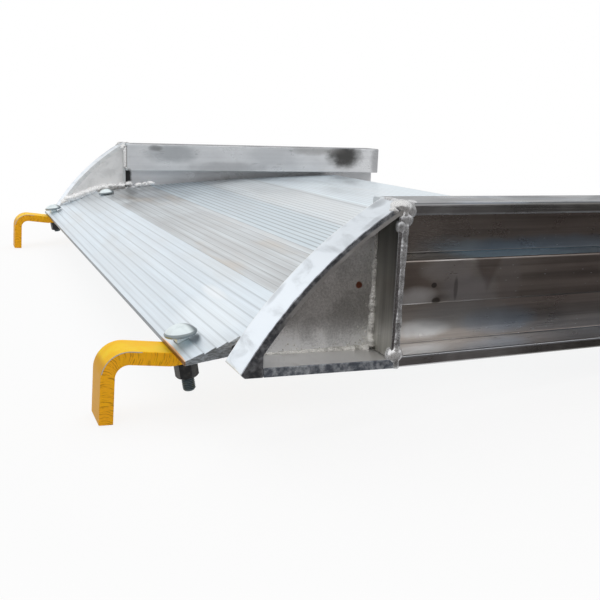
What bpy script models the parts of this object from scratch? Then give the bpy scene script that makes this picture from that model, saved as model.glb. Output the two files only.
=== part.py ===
"""Hook style walk ramp: two aluminium side rails, a deck of ribbed planks and two bolted steel hooks.

The ramp is laid out in its own frame: X runs along the walk from the hook end (-X) to the ground end
(+X), with x = 0 where the rail ends meet the rails; Y runs across, with the left rail at +Y; Z is up
from the rails' undersides. An empty then sets the whole ramp down on level ground, where it stands on
the two hook tips and the far ends of its rails.
"""

import math

import bmesh
import bpy
from mathutils import Matrix, Vector

MM = 0.001
GAP = 0.3 * MM

# The walk's size
CLEAR_WIDTH = 1067.0 * MM
FLANGE_WIDTH = 58.0 * MM
HALF_CLEAR = CLEAR_WIDTH / 2.0
HALF_WIDTH = HALF_CLEAR + FLANGE_WIDTH

# Side rails: an aluminium channel, open outwards, whose web jogs outwards into a pocket
RAIL_LENGTH = 594.0 * MM
RAIL_HEIGHT = 140.0 * MM
RAIL_WALL = 4.0 * MM
RAIL_LIP = 10.0 * MM
POCKET_TOP = 84.5 * MM
POCKET_FLOOR = 52.0 * MM
POCKET_DEPTH = 30.5 * MM
RAIL_CORNER_OUTSIDE = 2.6 * MM
RAIL_CORNER_INSIDE = 1.4 * MM

# Tapered rail ends
END_DEPTH = 40.0 * MM
END_LENGTH = 139.8 * MM
END_TIP_HEIGHT = 7.0 * MM
END_ARC_RADIUS = 400.0 * MM
END_PLATE = 7.5 * MM
END_FOOT = 8.0 * MM
END_TIP_SLANT = 3.4 * MM
END_HEEL_X = -121.0 * MM
END_UPRIGHT = 6.0 * MM
END_WEB = 4.5 * MM
END_FOOT_RISE = math.radians(1.6)
END_TOP_SETBACK = 3.0 * MM
END_ARC_STEPS = 40

# Weld beads that go over, down and under the joints between the rails and their ends
WELD_WIDTH = 7.0 * MM
WELD_PROUD = 2.4 * MM
WELD_REACH = 37.0 * MM
WELD_ROUNDING = 0.9 * MM

# Deck line: where the planks' upper edges meet, along the walk
NOSE_LIP_X = -166.0 * MM
NOSE_LIP_TOP = -0.3 * MM
NOSE_LIP_THICKNESS = 3.5 * MM
NOSE_END_X = -62.0 * MM
PLANK_PITCH = 108.0 * MM
PLANK_COUNT = 5
DECK_HEIGHTS = (40.8 * MM, 53.8 * MM, 62.5 * MM, 70.0 * MM, 75.0 * MM, 79.0 * MM)
PLANK_DEPTH = 31.0 * MM
PLANK_SKIN = 4.0 * MM
PLANK_TAPER = 1.0 * MM
PLANK_JOINT = 0.5 * MM
PLANK_LAND = 1.2 * MM
PLANK_CHAMBERS = 3
PLANK_RIBS = 9
PLANK_RIB_DROP = 0.7 * MM

# Nose plank: a wedge whose top is a row of saw teeth
NOSE_UNDERSIDE = math.radians(7.0)
NOSE_SAG = 0.8 * MM
NOSE_LAND = 17.4 * MM
NOSE_TEETH = 8
NOSE_TOOTH_PITCH = 10.7 * MM
NOSE_TOOTH_DROP = 1.6 * MM
TOOTH_FACE = 0.3 * MM
NOSE_WALL = 4.5 * MM
CHAMBER_RADIUS = 2.0 * MM
NOSE_CHAMBER_X = -124.0 * MM
NOSE_RIB_X = -94.0 * MM
NOSE_RIGHT_END = -522.7 * MM
NOSE_LEFT_END = HALF_WIDTH - END_DEPTH - GAP
GROUND_SLOPE = math.radians(41.0)

# Hooks: flame-cut flat bar, bent over
HOOK_THICKNESS = 12.7 * MM
HOOK_WIDTH = 40.0 * MM
HOOK_TAIL_EXTRA = 30.0 * MM
HOOK_TAIL_END_X = -33.0 * MM
HOOK_TAIL_STEP_X = -112.0 * MM
HOOK_KINK_X = -166.5 * MM
HOOK_ARM_RISE = math.radians(7.2)
HOOK_ARM_LENGTH = 56.8 * MM
HOOK_LEG_LEAN = math.radians(2.9)
HOOK_LEG_LENGTH = 61.8 * MM
HOOK_KINK_RADIUS = 24.0 * MM
HOOK_BEND_RADIUS = 18.3 * MM
HOOK_EDGE = 0.8 * MM
HOOK_CENTRES = {"right": -462.3 * MM, "left": 510.0 * MM}

# Carriage bolts and nuts, M12
BOLT_DIAMETER = 12.0 * MM
BOLT_HEAD_DIAMETER = 30.6 * MM
BOLT_HEAD_HEIGHT = 9.6 * MM
BOLT_HEAD_RIM = 2.0 * MM
BOLT_LEAN = math.radians(9.0)
BOLT_NECK = 12.0 * MM
BOLT_NECK_LENGTH = 7.0 * MM
BOLT_FRONT_THREAD = {"right": 13.5 * MM, "left": 4.0 * MM}
BOLT_REAR_THREAD = 5.0 * MM
BOLT_FRONT_X = -153.2 * MM
BOLT_REAR_X = -49.0 * MM
BOLT_FRONT_OFFSET = -8.0 * MM
BOLT_REAR_OFFSET = -34.0 * MM
BOLT_SEAT_FRONT = 9.8 * MM
BOLT_SEAT_REAR = 0.8 * MM
NUT_ACROSS_FLATS = 19.0 * MM
NUT_HEIGHT = 15.2 * MM
NUT_CHAMFER = 1.3 * MM
NUT_TURN = math.radians(12.0)
BOLT_POINT = 1.2 * MM
HOLE_ROOM = 0.5 * MM
SEAT_ROOM = 0.8 * MM
NECK_OVERLAP = 0.5 * MM
BARREL_ROOM = 0.2 * MM
PAST = 0.01 * MM

# How far the cutting tools reach, well past the pieces that they cut
LONG_REACH = 200.0 * MM
SHORT_REACH = 30.0 * MM
ROUND_STEPS = 32
DOME_STEPS = 8
SHARP_ANGLE = math.radians(24.0)

ALUMINIUM = (0.72, 0.73, 0.74)
RAIL_ALUMINIUM = (0.42, 0.41, 0.40)
HOOK_YELLOW = (0.92, 0.58, 0.03)
ZINC = (0.70, 0.74, 0.76)
BLACK_STEEL = (0.03, 0.03, 0.035)


def clear_scene():
    """Remove every object, so that the script can run in any file."""
    for old in list(bpy.data.objects):
        bpy.data.objects.remove(old, do_unlink=True)


def new_collection(name):
    """Return a collection of this name in the scene."""
    collection = bpy.data.collections.new(name)
    bpy.context.scene.collection.children.link(collection)
    return collection


def new_material(name, colour, metallic, roughness):
    """Return a Principled material."""
    finish = bpy.data.materials.new(name)
    finish.use_nodes = True
    shader = finish.node_tree.nodes["Principled BSDF"]
    shader.inputs["Base Color"].default_value = (*colour, 1.0)
    shader.inputs["Metallic"].default_value = metallic
    shader.inputs["Roughness"].default_value = roughness
    finish.diffuse_color = (*colour, 1.0)
    return finish


def rounded(points, radius, steps=3):
    """Return the closed outline with each corner rounded.

    radius is one size for all corners, or a list with one for each.
    """
    radii = radius if isinstance(radius, (list, tuple)) else [radius] * len(points)
    corners = [Vector(point) for point in points]
    outline = []
    for index, corner in enumerate(corners):
        before = corners[index - 1] - corner
        after = corners[(index + 1) % len(corners)] - corner
        half_angle = before.angle(after) / 2.0
        if radii[index] <= 0.0 or half_angle > math.radians(88.0):
            outline.append(tuple(corner))
            continue
        reach = min(radii[index] / math.tan(half_angle), 0.48 * min(before.length, after.length))
        start = corner + before.normalized() * reach
        end = corner + after.normalized() * reach
        turn_radius = reach * math.tan(half_angle)
        bisector = (before.normalized() + after.normalized()).normalized()
        centre = corner + bisector * math.hypot(reach, turn_radius)
        first, last = start - centre, end - centre
        sweep = math.atan2(first.x * last.y - first.y * last.x, first.dot(last))
        for step in range(steps + 1):
            turned = Matrix.Rotation(sweep * step / steps, 2) @ first
            outline.append(tuple(centre + turned))
    return outline


def arc_between(start, end, radius, steps):
    """Return points from start to end on an arc that bulges to the left of the way."""
    start, end = Vector(start), Vector(end)
    chord = end - start
    left = Vector((-chord.y, chord.x)).normalized()
    middle = (start + end) / 2.0
    centre = middle - left * math.sqrt(radius ** 2 - (chord.length / 2.0) ** 2)
    first, last = start - centre, end - centre
    sweep = math.atan2(first.x * last.y - first.y * last.x, first.dot(last))
    return [tuple(centre + Matrix.Rotation(sweep * step / steps, 2) @ first) for step in range(steps + 1)]


def outline_solid(name, loops, width, finish, collection, axis="Y", slope=0.0, turned=False):
    """Return a mesh object made by extruding flat loops, the first one outside and the others holes.

    The loops lie in the X-Z plane and the extrusion runs along Y, or in the Y-Z plane along X for
    axis "X". The object is centred on the extrusion. slope tips the loops' X axis upwards.
    """
    curve = bpy.data.curves.new(name, "CURVE")
    curve.dimensions = "2D"
    curve.fill_mode = "BOTH"
    curve.extrude = width / 2.0
    for loop in loops:
        spline = curve.splines.new("POLY")
        spline.points.add(len(loop) - 1)
        for point, (u, v) in zip(spline.points, loop):
            point.co = (u, v, 0.0, 1.0)
        spline.use_cyclic_u = True
    guide = bpy.data.objects.new(name + "_outline", curve)
    collection.objects.link(guide)
    bpy.context.view_layer.update()
    evaluated = guide.evaluated_get(bpy.context.evaluated_depsgraph_get())
    mesh = bpy.data.meshes.new_from_object(evaluated)
    bpy.data.objects.remove(guide, do_unlink=True)
    mesh.name = name
    body = bmesh.new()
    body.from_mesh(mesh)
    bmesh.ops.remove_doubles(body, verts=body.verts, dist=1e-6)
    bmesh.ops.recalc_face_normals(body, faces=body.faces)
    body.to_mesh(mesh)
    body.free()
    mesh.set_sharp_from_angle(angle=SHARP_ANGLE)
    mesh.materials.clear()
    mesh.materials.append(finish)
    solid = bpy.data.objects.new(name, mesh)
    collection.objects.link(solid)
    if axis == "X":
        solid.rotation_euler = (math.pi / 2.0, 0.0, math.pi / 2.0)
    else:
        solid.rotation_euler = (math.pi / 2.0, -slope, math.pi if turned else 0.0)
    return solid


def hide_cutter(cutter, collection):
    """Keep a cutter out of the part."""
    collection.objects.link(cutter)
    cutter.hide_render = True
    cutter.display_type = "WIRE"


def box_cutter(name, size, matrix, collection):
    """Return a box that cuts, of this size and place."""
    mesh = bpy.data.meshes.new(name)
    body = bmesh.new()
    bmesh.ops.create_cube(body, size=1.0, matrix=matrix @ Matrix.Diagonal((*size, 1.0)))
    body.to_mesh(mesh)
    body.free()
    cutter = bpy.data.objects.new(name, mesh)
    hide_cutter(cutter, collection)
    return cutter


def round_cutter(name, radius, length, matrix, collection):
    """Return a cylinder that cuts, centred on the matrix and along its Z axis."""
    mesh = bpy.data.meshes.new(name)
    body = bmesh.new()
    bmesh.ops.create_cone(body, cap_ends=True, segments=ROUND_STEPS, radius1=radius, radius2=radius,
                          depth=length, matrix=matrix)
    body.to_mesh(mesh)
    body.free()
    cutter = bpy.data.objects.new(name, mesh)
    hide_cutter(cutter, collection)
    return cutter


def apply_boolean(target, other, operation):
    """Add a Boolean of the other object to the target."""
    boolean = target.modifiers.new(operation.lower(), "BOOLEAN")
    boolean.operation = operation
    boolean.object = other
    boolean.solver = "EXACT"


def add_rounding(piece, width):
    """Round the piece's sharp edges."""
    edge = piece.modifiers.new("rounded_edges", "BEVEL")
    edge.width = width
    edge.segments = 2
    edge.limit_method = "ANGLE"
    edge.angle_limit = math.radians(50.0)


def rail_outline():
    """Return the rail's section: distance in from its outermost face, and height."""
    outer, inner = 0.0, FLANGE_WIDTH
    pocket_back = FLANGE_WIDTH - POCKET_DEPTH
    wall = RAIL_WALL
    shape = [
        (outer, RAIL_HEIGHT, 2), (inner, RAIL_HEIGHT, 2), (inner, POCKET_TOP, 2),
        (pocket_back, POCKET_TOP, 1), (pocket_back, POCKET_FLOOR, 1), (inner, POCKET_FLOOR, 2),
        (inner, 0.0, 2), (outer, 0.0, 2), (outer, RAIL_LIP, 0), (wall, RAIL_LIP, 0),
        (wall, wall, 1), (inner - wall, wall, 1), (inner - wall, POCKET_FLOOR - wall, 1),
        (pocket_back - wall, POCKET_FLOOR - wall, 2), (pocket_back - wall, POCKET_TOP + wall, 2),
        (inner - wall, POCKET_TOP + wall, 1), (inner - wall, RAIL_HEIGHT - wall, 1),
        (wall, RAIL_HEIGHT - wall, 1), (wall, RAIL_HEIGHT - RAIL_LIP, 0),
        (outer, RAIL_HEIGHT - RAIL_LIP, 0),
    ]
    radii = [(0.6 * MM, RAIL_CORNER_INSIDE, RAIL_CORNER_OUTSIDE)[kind] for _, _, kind in shape]
    return rounded([(depth, height) for depth, height, _ in shape], radii)


def build_rail(side, finish, collection):
    """Build a side rail; side is -1 on the right and +1 on the left."""
    loop = [(side * (HALF_WIDTH - depth), height) for depth, height in rail_outline()]
    name = ("right" if side < 0 else "left") + "_side_rail"
    rail = outline_solid(name, [loop], RAIL_LENGTH, finish, collection, axis="X")
    rail.location = (RAIL_LENGTH / 2.0, 0.0, 0.0)
    return rail


def foot_height(x):
    """Return the height of a rail end's underside, which rises a little towards its tip."""
    return -x * math.tan(END_FOOT_RISE)


def foot_top(x):
    """Return the height of the top of a rail end's foot."""
    return foot_height(x) + END_FOOT


def end_arc(inset):
    """Return the curved edge of a rail end from its tip to its top, set in by this much."""
    start = Vector((-END_LENGTH, END_TIP_HEIGHT))
    end = Vector((-END_TOP_SETBACK, RAIL_HEIGHT))
    points = [Vector(point) for point in arc_between(start, end, END_ARC_RADIUS, END_ARC_STEPS)]
    if inset == 0.0:
        return points
    moved = []
    for index, point in enumerate(points):
        before = points[max(index - 1, 0)]
        after = points[min(index + 1, len(points) - 1)]
        way = (after - before).normalized()
        moved.append(point + Vector((way.y, -way.x)) * inset)
    return moved


def clipped(points, first_x, last_x):
    """Return the stretch of a rising line between two x, with an exact point at each end."""
    stretch = []
    for before, after in zip(points, points[1:]):
        for x in (first_x, last_x):
            if before.x < x <= after.x:
                share = (x - before.x) / (after.x - before.x)
                stretch.append(before.lerp(after, share))
        if first_x < after.x < last_x:
            stretch.append(after)
    return sorted(stretch, key=lambda point: point.x)


def build_rail_end(side, finish, collection):
    """Build one tapered rail end: its curved cap, foot, upright and web, each a plate of its own."""
    prefix = "right_end" if side < 0 else "left_end"
    centre_y = side * (HALF_WIDTH - END_DEPTH / 2.0)
    back = -GAP
    upright_front = back - END_UPRIGHT
    web_back = upright_front - GAP
    tip_x = -END_LENGTH + END_TIP_SLANT

    # The cap ends in a solid blunt tip in front of the foot, and lies over the top of the upright
    cap_inside = clipped(end_arc(END_PLATE), END_HEEL_X, web_back)
    overlap_z = cap_inside[-1].y
    cap_loop = [tuple(point) for point in end_arc(0.0)]
    cap_loop += [(back, RAIL_HEIGHT), (back, overlap_z)]
    cap_loop += [tuple(point) for point in reversed(cap_inside)]
    cap_loop += [(END_HEEL_X, foot_height(END_HEEL_X)), (tip_x, foot_height(tip_x))]
    cap = outline_solid(prefix + "_cap", [cap_loop], END_DEPTH, finish, collection)

    foot_front = END_HEEL_X + GAP
    foot_loop = [(foot_front, foot_height(foot_front)), (back, 0.0), (back, foot_top(back)),
                 (foot_front, foot_top(foot_front))]
    foot = outline_solid(prefix + "_foot", [foot_loop], END_DEPTH, finish, collection)

    upright_loop = [(upright_front, foot_top(upright_front) + GAP), (back, foot_top(back) + GAP),
                    (back, overlap_z - GAP), (upright_front, overlap_z - GAP)]
    upright = outline_solid(prefix + "_upright", [upright_loop], END_DEPTH, finish, collection)

    web_arc = clipped(end_arc(END_PLATE + GAP), foot_front, web_back)
    web_loop = [tuple(point) for point in web_arc]
    web_loop += [(web_back, foot_top(web_back) + GAP), (foot_front, foot_top(foot_front) + GAP)]
    web = outline_solid(prefix + "_web", [web_loop], END_WEB, finish, collection)

    for plate in (cap, foot, upright):
        plate.location = (0.0, centre_y, 0.0)
    web.location = (0.0, side * (HALF_WIDTH - END_DEPTH + END_WEB / 2.0), 0.0)
    return [cap, foot, upright, web]


def build_end_weld(side, finish, collection):
    """Build the bead that joins a rail to its end, round the top, the outer side and the bottom."""
    low, high = -WELD_PROUD, RAIL_HEIGHT + WELD_PROUD
    shape = [(WELD_REACH, high), (-WELD_PROUD, high), (-WELD_PROUD, low), (WELD_REACH, low),
             (WELD_REACH, -GAP), (-GAP, -GAP), (-GAP, RAIL_HEIGHT + GAP), (WELD_REACH, RAIL_HEIGHT + GAP)]
    loop = [(side * (HALF_WIDTH - depth), height) for depth, height in shape]
    name = ("right" if side < 0 else "left") + "_end_weld"
    weld = outline_solid(name, [loop], WELD_WIDTH, finish, collection, axis="X")
    weld.location = (-GAP / 2.0, 0.0, 0.0)
    add_rounding(weld, WELD_ROUNDING)
    return weld


def deck_joint(index):
    """Return the place of a joint on the deck line: its x and height."""
    return Vector((NOSE_END_X + index * PLANK_PITCH, DECK_HEIGHTS[index]))


def plank_slope(index):
    """Return the slope of a deck plank, counted from 0."""
    way = deck_joint(index + 1) - deck_joint(index)
    return math.atan2(way.y, way.x)


def underside(x):
    """Return the height of the nose plank's underside at x."""
    return NOSE_LIP_TOP - NOSE_LIP_THICKNESS + (x - NOSE_LIP_X) * math.tan(NOSE_UNDERSIDE)


def nose_top(x):
    """Return the mean height of the nose plank's top at x, on a line that sags a little."""
    share = (x - NOSE_LIP_X) / (NOSE_END_X - NOSE_LIP_X)
    straight = NOSE_LIP_TOP + (DECK_HEIGHTS[0] - NOSE_LIP_TOP) * share
    return straight - 4.0 * NOSE_SAG * share * (1.0 - share)


def nose_loops(rear_lean):
    """Return the nose plank's section: a saw-toothed wedge with two chambers.

    rear_lean turns its rear face, which stands upright at 0, so that its foot moves back.
    """
    half_drop = NOSE_TOOTH_DROP / 2.0
    rear = NOSE_END_X - PLANK_JOINT / 2.0
    lean = math.tan(rear_lean)
    depth = DECK_HEIGHTS[0] - underside(rear)
    rear_low = rear + depth * lean / (1.0 + lean * math.tan(NOSE_UNDERSIDE))
    outline = [(NOSE_LIP_X, underside(NOSE_LIP_X)), (NOSE_LIP_X, NOSE_LIP_TOP)]
    for tooth in range(NOSE_TEETH):
        edge = NOSE_LIP_X + NOSE_LAND + tooth * NOSE_TOOTH_PITCH
        outline.append((edge, nose_top(edge) + half_drop))
        outline.append((edge + TOOTH_FACE, nose_top(edge) - half_drop))
    outline.append((rear, DECK_HEIGHTS[0]))
    outline.append((rear_low, underside(rear_low)))

    roof = NOSE_WALL + half_drop
    back_top = rear - NOSE_WALL + roof * lean
    back_low = back_top + (nose_top(back_top) - underside(back_top) - roof - NOSE_WALL) * lean
    loops = [outline]
    chambers = ((NOSE_CHAMBER_X, NOSE_RIB_X, NOSE_RIB_X), (NOSE_RIB_X + NOSE_WALL, back_top, back_low))
    for front, top, low in chambers:
        corners = [(front, underside(front) + NOSE_WALL), (low, underside(low) + NOSE_WALL),
                   (top, nose_top(top) - roof), (front, nose_top(front) - roof)]
        loops.append(rounded(corners, CHAMBER_RADIUS))
    return loops


def plank_loops(ribs, rib_drop, width):
    """Return a deck plank's section: a hollow box with fine saw-edged ribs on top."""
    half_drop = rib_drop / 2.0
    outline = [(PLANK_TAPER, -PLANK_DEPTH), (0.0, -PLANK_LAND), (0.0, -half_drop)]
    pitch = width / ribs
    for rib in range(1, ribs):
        edge = rib * pitch
        outline.append((edge, half_drop))
        outline.append((edge + TOOTH_FACE, -half_drop))
    outline += [(width, half_drop), (width, -PLANK_LAND), (width - PLANK_TAPER, -PLANK_DEPTH)]
    loops = [outline]
    room = width - 2.0 * PLANK_TAPER - (PLANK_CHAMBERS + 1) * PLANK_SKIN
    chamber = room / PLANK_CHAMBERS
    for index in range(PLANK_CHAMBERS):
        left = PLANK_TAPER + PLANK_SKIN + index * (chamber + PLANK_SKIN)
        corners = [(left, -PLANK_DEPTH + PLANK_SKIN), (left + chamber, -PLANK_DEPTH + PLANK_SKIN),
                   (left + chamber, -PLANK_SKIN), (left, -PLANK_SKIN)]
        loops.append(rounded(corners, CHAMBER_RADIUS, 2))
    return loops


def build_deck(finish, collection):
    """Build the nose plank, the deck planks and the plank that slopes to the ground."""
    length = NOSE_LEFT_END - NOSE_RIGHT_END
    nose = outline_solid("nose_plank", nose_loops(plank_slope(0)), length, finish, collection)
    nose.location = (0.0, (NOSE_LEFT_END + NOSE_RIGHT_END) / 2.0, 0.0)
    planks = [nose]
    width = CLEAR_WIDTH - 2.0 * GAP
    for index in range(PLANK_COUNT):
        start, end = deck_joint(index), deck_joint(index + 1)
        way = end - start
        loops = plank_loops(PLANK_RIBS, PLANK_RIB_DROP, way.length - PLANK_JOINT)
        plank = outline_solid(f"deck_plank_{index + 1}", loops, width, finish, collection,
                              slope=plank_slope(index))
        place = start + way.normalized() * PLANK_JOINT / 2.0
        plank.location = (place.x, 0.0, place.y)
        planks.append(plank)

    # The ground plank is the nose section turned round, tipped down and mitred to the last plank
    nose_slope = math.atan2(DECK_HEIGHTS[0] - NOSE_LIP_TOP, NOSE_END_X - NOSE_LIP_X)
    tip = GROUND_SLOPE - nose_slope
    loops = nose_loops(-tip - plank_slope(PLANK_COUNT - 1))
    ground = outline_solid("ground_plank", loops, width, finish, collection, slope=tip, turned=True)
    turn = Matrix.Rotation(math.pi, 3, "Z") @ Matrix.Rotation(-tip, 3, "Y")
    rear_edge = turn @ Vector((NOSE_END_X, 0.0, DECK_HEIGHTS[0]))
    end = deck_joint(PLANK_COUNT)
    ground.location = Vector((end.x + PLANK_JOINT, 0.0, end.y)) - rear_edge
    planks.append(ground)
    return planks


def bent_bar(corners, radii, thickness, steps=8):
    """Return the closed side outline of a flat bar bent along a centre line."""
    left, right = [], []
    half = thickness / 2.0
    points = [Vector(corner) for corner in corners]
    for index, point in enumerate(points):
        if index in (0, len(points) - 1):
            neighbour = points[1] if index == 0 else points[-2]
            way = (neighbour - point if index == 0 else point - neighbour).normalized()
            across = Vector((-way.y, way.x)) * half
            left.append(point + across)
            right.append(point - across)
            continue
        come = (point - points[index - 1]).normalized()
        leave = (points[index + 1] - point).normalized()
        turn = math.atan2(come.x * leave.y - come.y * leave.x, come.dot(leave))
        radius = radii[index - 1]
        reach = radius * math.tan(abs(turn) / 2.0)
        start = point - come * reach
        centre = start + Vector((-come.y, come.x)) * math.copysign(radius, turn)
        for step in range(steps + 1):
            spoke = Matrix.Rotation(turn * step / steps, 2) @ (start - centre)
            outwards = spoke.normalized() * math.copysign(1.0, turn)
            left.append(centre + spoke - outwards * half)
            right.append(centre + spoke + outwards * half)
    return [tuple(point) for point in left + right[::-1]]


def hook_centre_line():
    """Return the hook's centre line from its tail, under the nose, to the foot of its leg."""
    lean = Vector((-math.sin(NOSE_UNDERSIDE), math.cos(NOSE_UNDERSIDE)))
    below = GAP + HOOK_THICKNESS / 2.0
    tail = Vector((HOOK_TAIL_END_X, underside(HOOK_TAIL_END_X))) - lean * below
    kink = Vector((HOOK_KINK_X, underside(HOOK_KINK_X))) - lean * below
    corner = kink + Vector((-math.cos(HOOK_ARM_RISE), math.sin(HOOK_ARM_RISE))) * HOOK_ARM_LENGTH
    foot = corner + Vector((-math.sin(HOOK_LEG_LEAN), -math.cos(HOOK_LEG_LEAN))) * HOOK_LEG_LENGTH
    return [tail, kink, corner, foot]


def bolt_axis(x, y):
    """Return the frame of a bolt, with Z up its axis and its origin on the nose's underside."""
    base = Vector((x, y, underside(x)))
    return Matrix.Translation(base) @ Matrix.Rotation(-BOLT_LEAN, 4, "Y")


def nut_top():
    """Return the height of a nut's top along its bolt, clear of the hook that it leans against."""
    askew = NUT_ACROSS_FLATS / 2.0 * math.tan(BOLT_LEAN - NOSE_UNDERSIDE)
    return -HOOK_THICKNESS - 2.0 * GAP - askew


def hook_bolts(name):
    """Return a hook's two bolts: name, x, y, height of the head's seat and thread below the nut."""
    centre = HOOK_CENTRES[name]
    front_seat = (BOLT_SEAT_FRONT - underside(BOLT_FRONT_X)) * math.cos(BOLT_LEAN)
    rear_rise = (DECK_HEIGHTS[0] - underside(BOLT_REAR_X)) * math.tan(BOLT_LEAN)
    deck = DECK_HEIGHTS[0] + (BOLT_REAR_X - rear_rise - NOSE_END_X) * math.tan(plank_slope(0))
    rear_seat = (deck + BOLT_SEAT_REAR - underside(BOLT_REAR_X)) / math.cos(BOLT_LEAN)
    return [
        (f"{name}_hook_front", BOLT_FRONT_X, centre + BOLT_FRONT_OFFSET, front_seat,
         BOLT_FRONT_THREAD[name]),
        (f"{name}_hook_rear", BOLT_REAR_X, centre + BOLT_REAR_OFFSET, rear_seat, BOLT_REAR_THREAD),
    ]


def build_hook(name, finish, collection, cutters):
    """Build one hook: a bent bar whose hidden tail is widened to take the second bolt."""
    width = HOOK_WIDTH + HOOK_TAIL_EXTRA
    loop = bent_bar(hook_centre_line(), [HOOK_KINK_RADIUS, HOOK_BEND_RADIUS], HOOK_THICKNESS)
    hook = outline_solid(f"{name}_hook", [loop], width, finish, collection)
    centre = HOOK_CENTRES[name]
    hook.location = (0.0, centre - HOOK_TAIL_EXTRA / 2.0, 0.0)

    waist_y = centre - HOOK_WIDTH / 2.0 - HOOK_TAIL_EXTRA
    waist = Matrix.Translation((HOOK_TAIL_STEP_X - LONG_REACH / 2.0, waist_y, 0.0))
    away = box_cutter(f"{name}_hook_waist", (LONG_REACH, HOOK_TAIL_EXTRA * 2.0, LONG_REACH), waist, cutters)
    apply_boolean(hook, away, "DIFFERENCE")
    for bolt_name, x, y, _, _ in hook_bolts(name):
        hole = round_cutter(f"{bolt_name}_hole", BOLT_DIAMETER / 2.0 + HOLE_ROOM, LONG_REACH / 2.0,
                            bolt_axis(x, y), cutters)
        apply_boolean(hook, hole, "DIFFERENCE")
    add_rounding(hook, HOOK_EDGE)
    return hook


def cut_bolt_seats(name, nose, first_plank, cutters):
    """Cut the square holes and the shallow head seats of one hook's bolts in the planks."""
    for (bolt_name, x, y, seat, _), plank in zip(hook_bolts(name), (nose, first_plank)):
        axis = bolt_axis(x, y)
        side = BOLT_NECK + 2.0 * GAP
        square = box_cutter(f"{bolt_name}_square", (side, side, LONG_REACH / 2.0), axis, cutters)
        apply_boolean(plank, square, "DIFFERENCE")
        place = axis @ Matrix.Translation((0.0, 0.0, seat - GAP + SHORT_REACH / 2.0))
        radius = BOLT_HEAD_DIAMETER / 2.0 + SEAT_ROOM
        recess = round_cutter(f"{bolt_name}_seat", radius, SHORT_REACH, place, cutters)
        apply_boolean(plank, recess, "DIFFERENCE")


def turn_profile(piece, points):
    """Fill the piece's mesh with a half section, and turn it into a solid about Z."""
    body = bmesh.new()
    verts = [body.verts.new((radius, 0.0, height)) for radius, height in points]
    for first, second in zip(verts, verts[1:]):
        body.edges.new((first, second))
    body.to_mesh(piece.data)
    body.free()
    turned = piece.modifiers.new("turned", "SCREW")
    turned.axis = "Z"
    turned.steps = ROUND_STEPS
    turned.render_steps = ROUND_STEPS
    turned.use_merge_vertices = True
    turned.merge_threshold = 0.00001


def bolt_profile(seat, thread):
    """Return half the bolt's section from the crown of its head down to its point."""
    radius = BOLT_HEAD_DIAMETER / 2.0
    rise = BOLT_HEAD_HEIGHT - BOLT_HEAD_RIM
    dome = (radius ** 2 + rise ** 2) / (2.0 * rise)
    widest = math.asin(radius / dome)
    points = []
    for step in range(DOME_STEPS + 1):
        angle = widest * step / DOME_STEPS
        points.append((dome * math.sin(angle), seat + BOLT_HEAD_HEIGHT - dome * (1.0 - math.cos(angle))))
    points.append((radius - GAP, seat))
    shank = BOLT_DIAMETER / 2.0
    end = nut_top() - NUT_HEIGHT - thread
    points += [(shank, seat), (shank, end + BOLT_POINT), (shank - BOLT_POINT, end), (0.0, end)]
    return points


def build_bolt(bolt_name, x, y, seat, thread, finish, collection, cutters):
    """Build a carriage bolt: a turned body with a square neck under its domed head."""
    points = bolt_profile(seat, thread)
    mesh = bpy.data.meshes.new(f"{bolt_name}_bolt")
    mesh.materials.append(finish)
    bolt = bpy.data.objects.new(f"{bolt_name}_bolt", mesh)
    collection.objects.link(bolt)
    turn_profile(bolt, points)
    neck_mesh = bpy.data.meshes.new(f"{bolt_name}_neck")
    neck_body = bmesh.new()
    size = (BOLT_NECK, BOLT_NECK, BOLT_NECK_LENGTH + NECK_OVERLAP)
    centre = Vector((0.0, 0.0, seat + (NECK_OVERLAP - BOLT_NECK_LENGTH) / 2.0))
    place = Matrix.Translation(centre) @ Matrix.Diagonal((*size, 1.0))
    bmesh.ops.create_cube(neck_body, size=1.0, matrix=place)
    neck_body.to_mesh(neck_mesh)
    neck_body.free()
    neck = bpy.data.objects.new(f"{bolt_name}_neck", neck_mesh)
    hide_cutter(neck, cutters)
    apply_boolean(bolt, neck, "UNION")
    bolt.matrix_basis = bolt_axis(x, y)
    neck.matrix_basis = bolt_axis(x, y)
    return bolt


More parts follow.
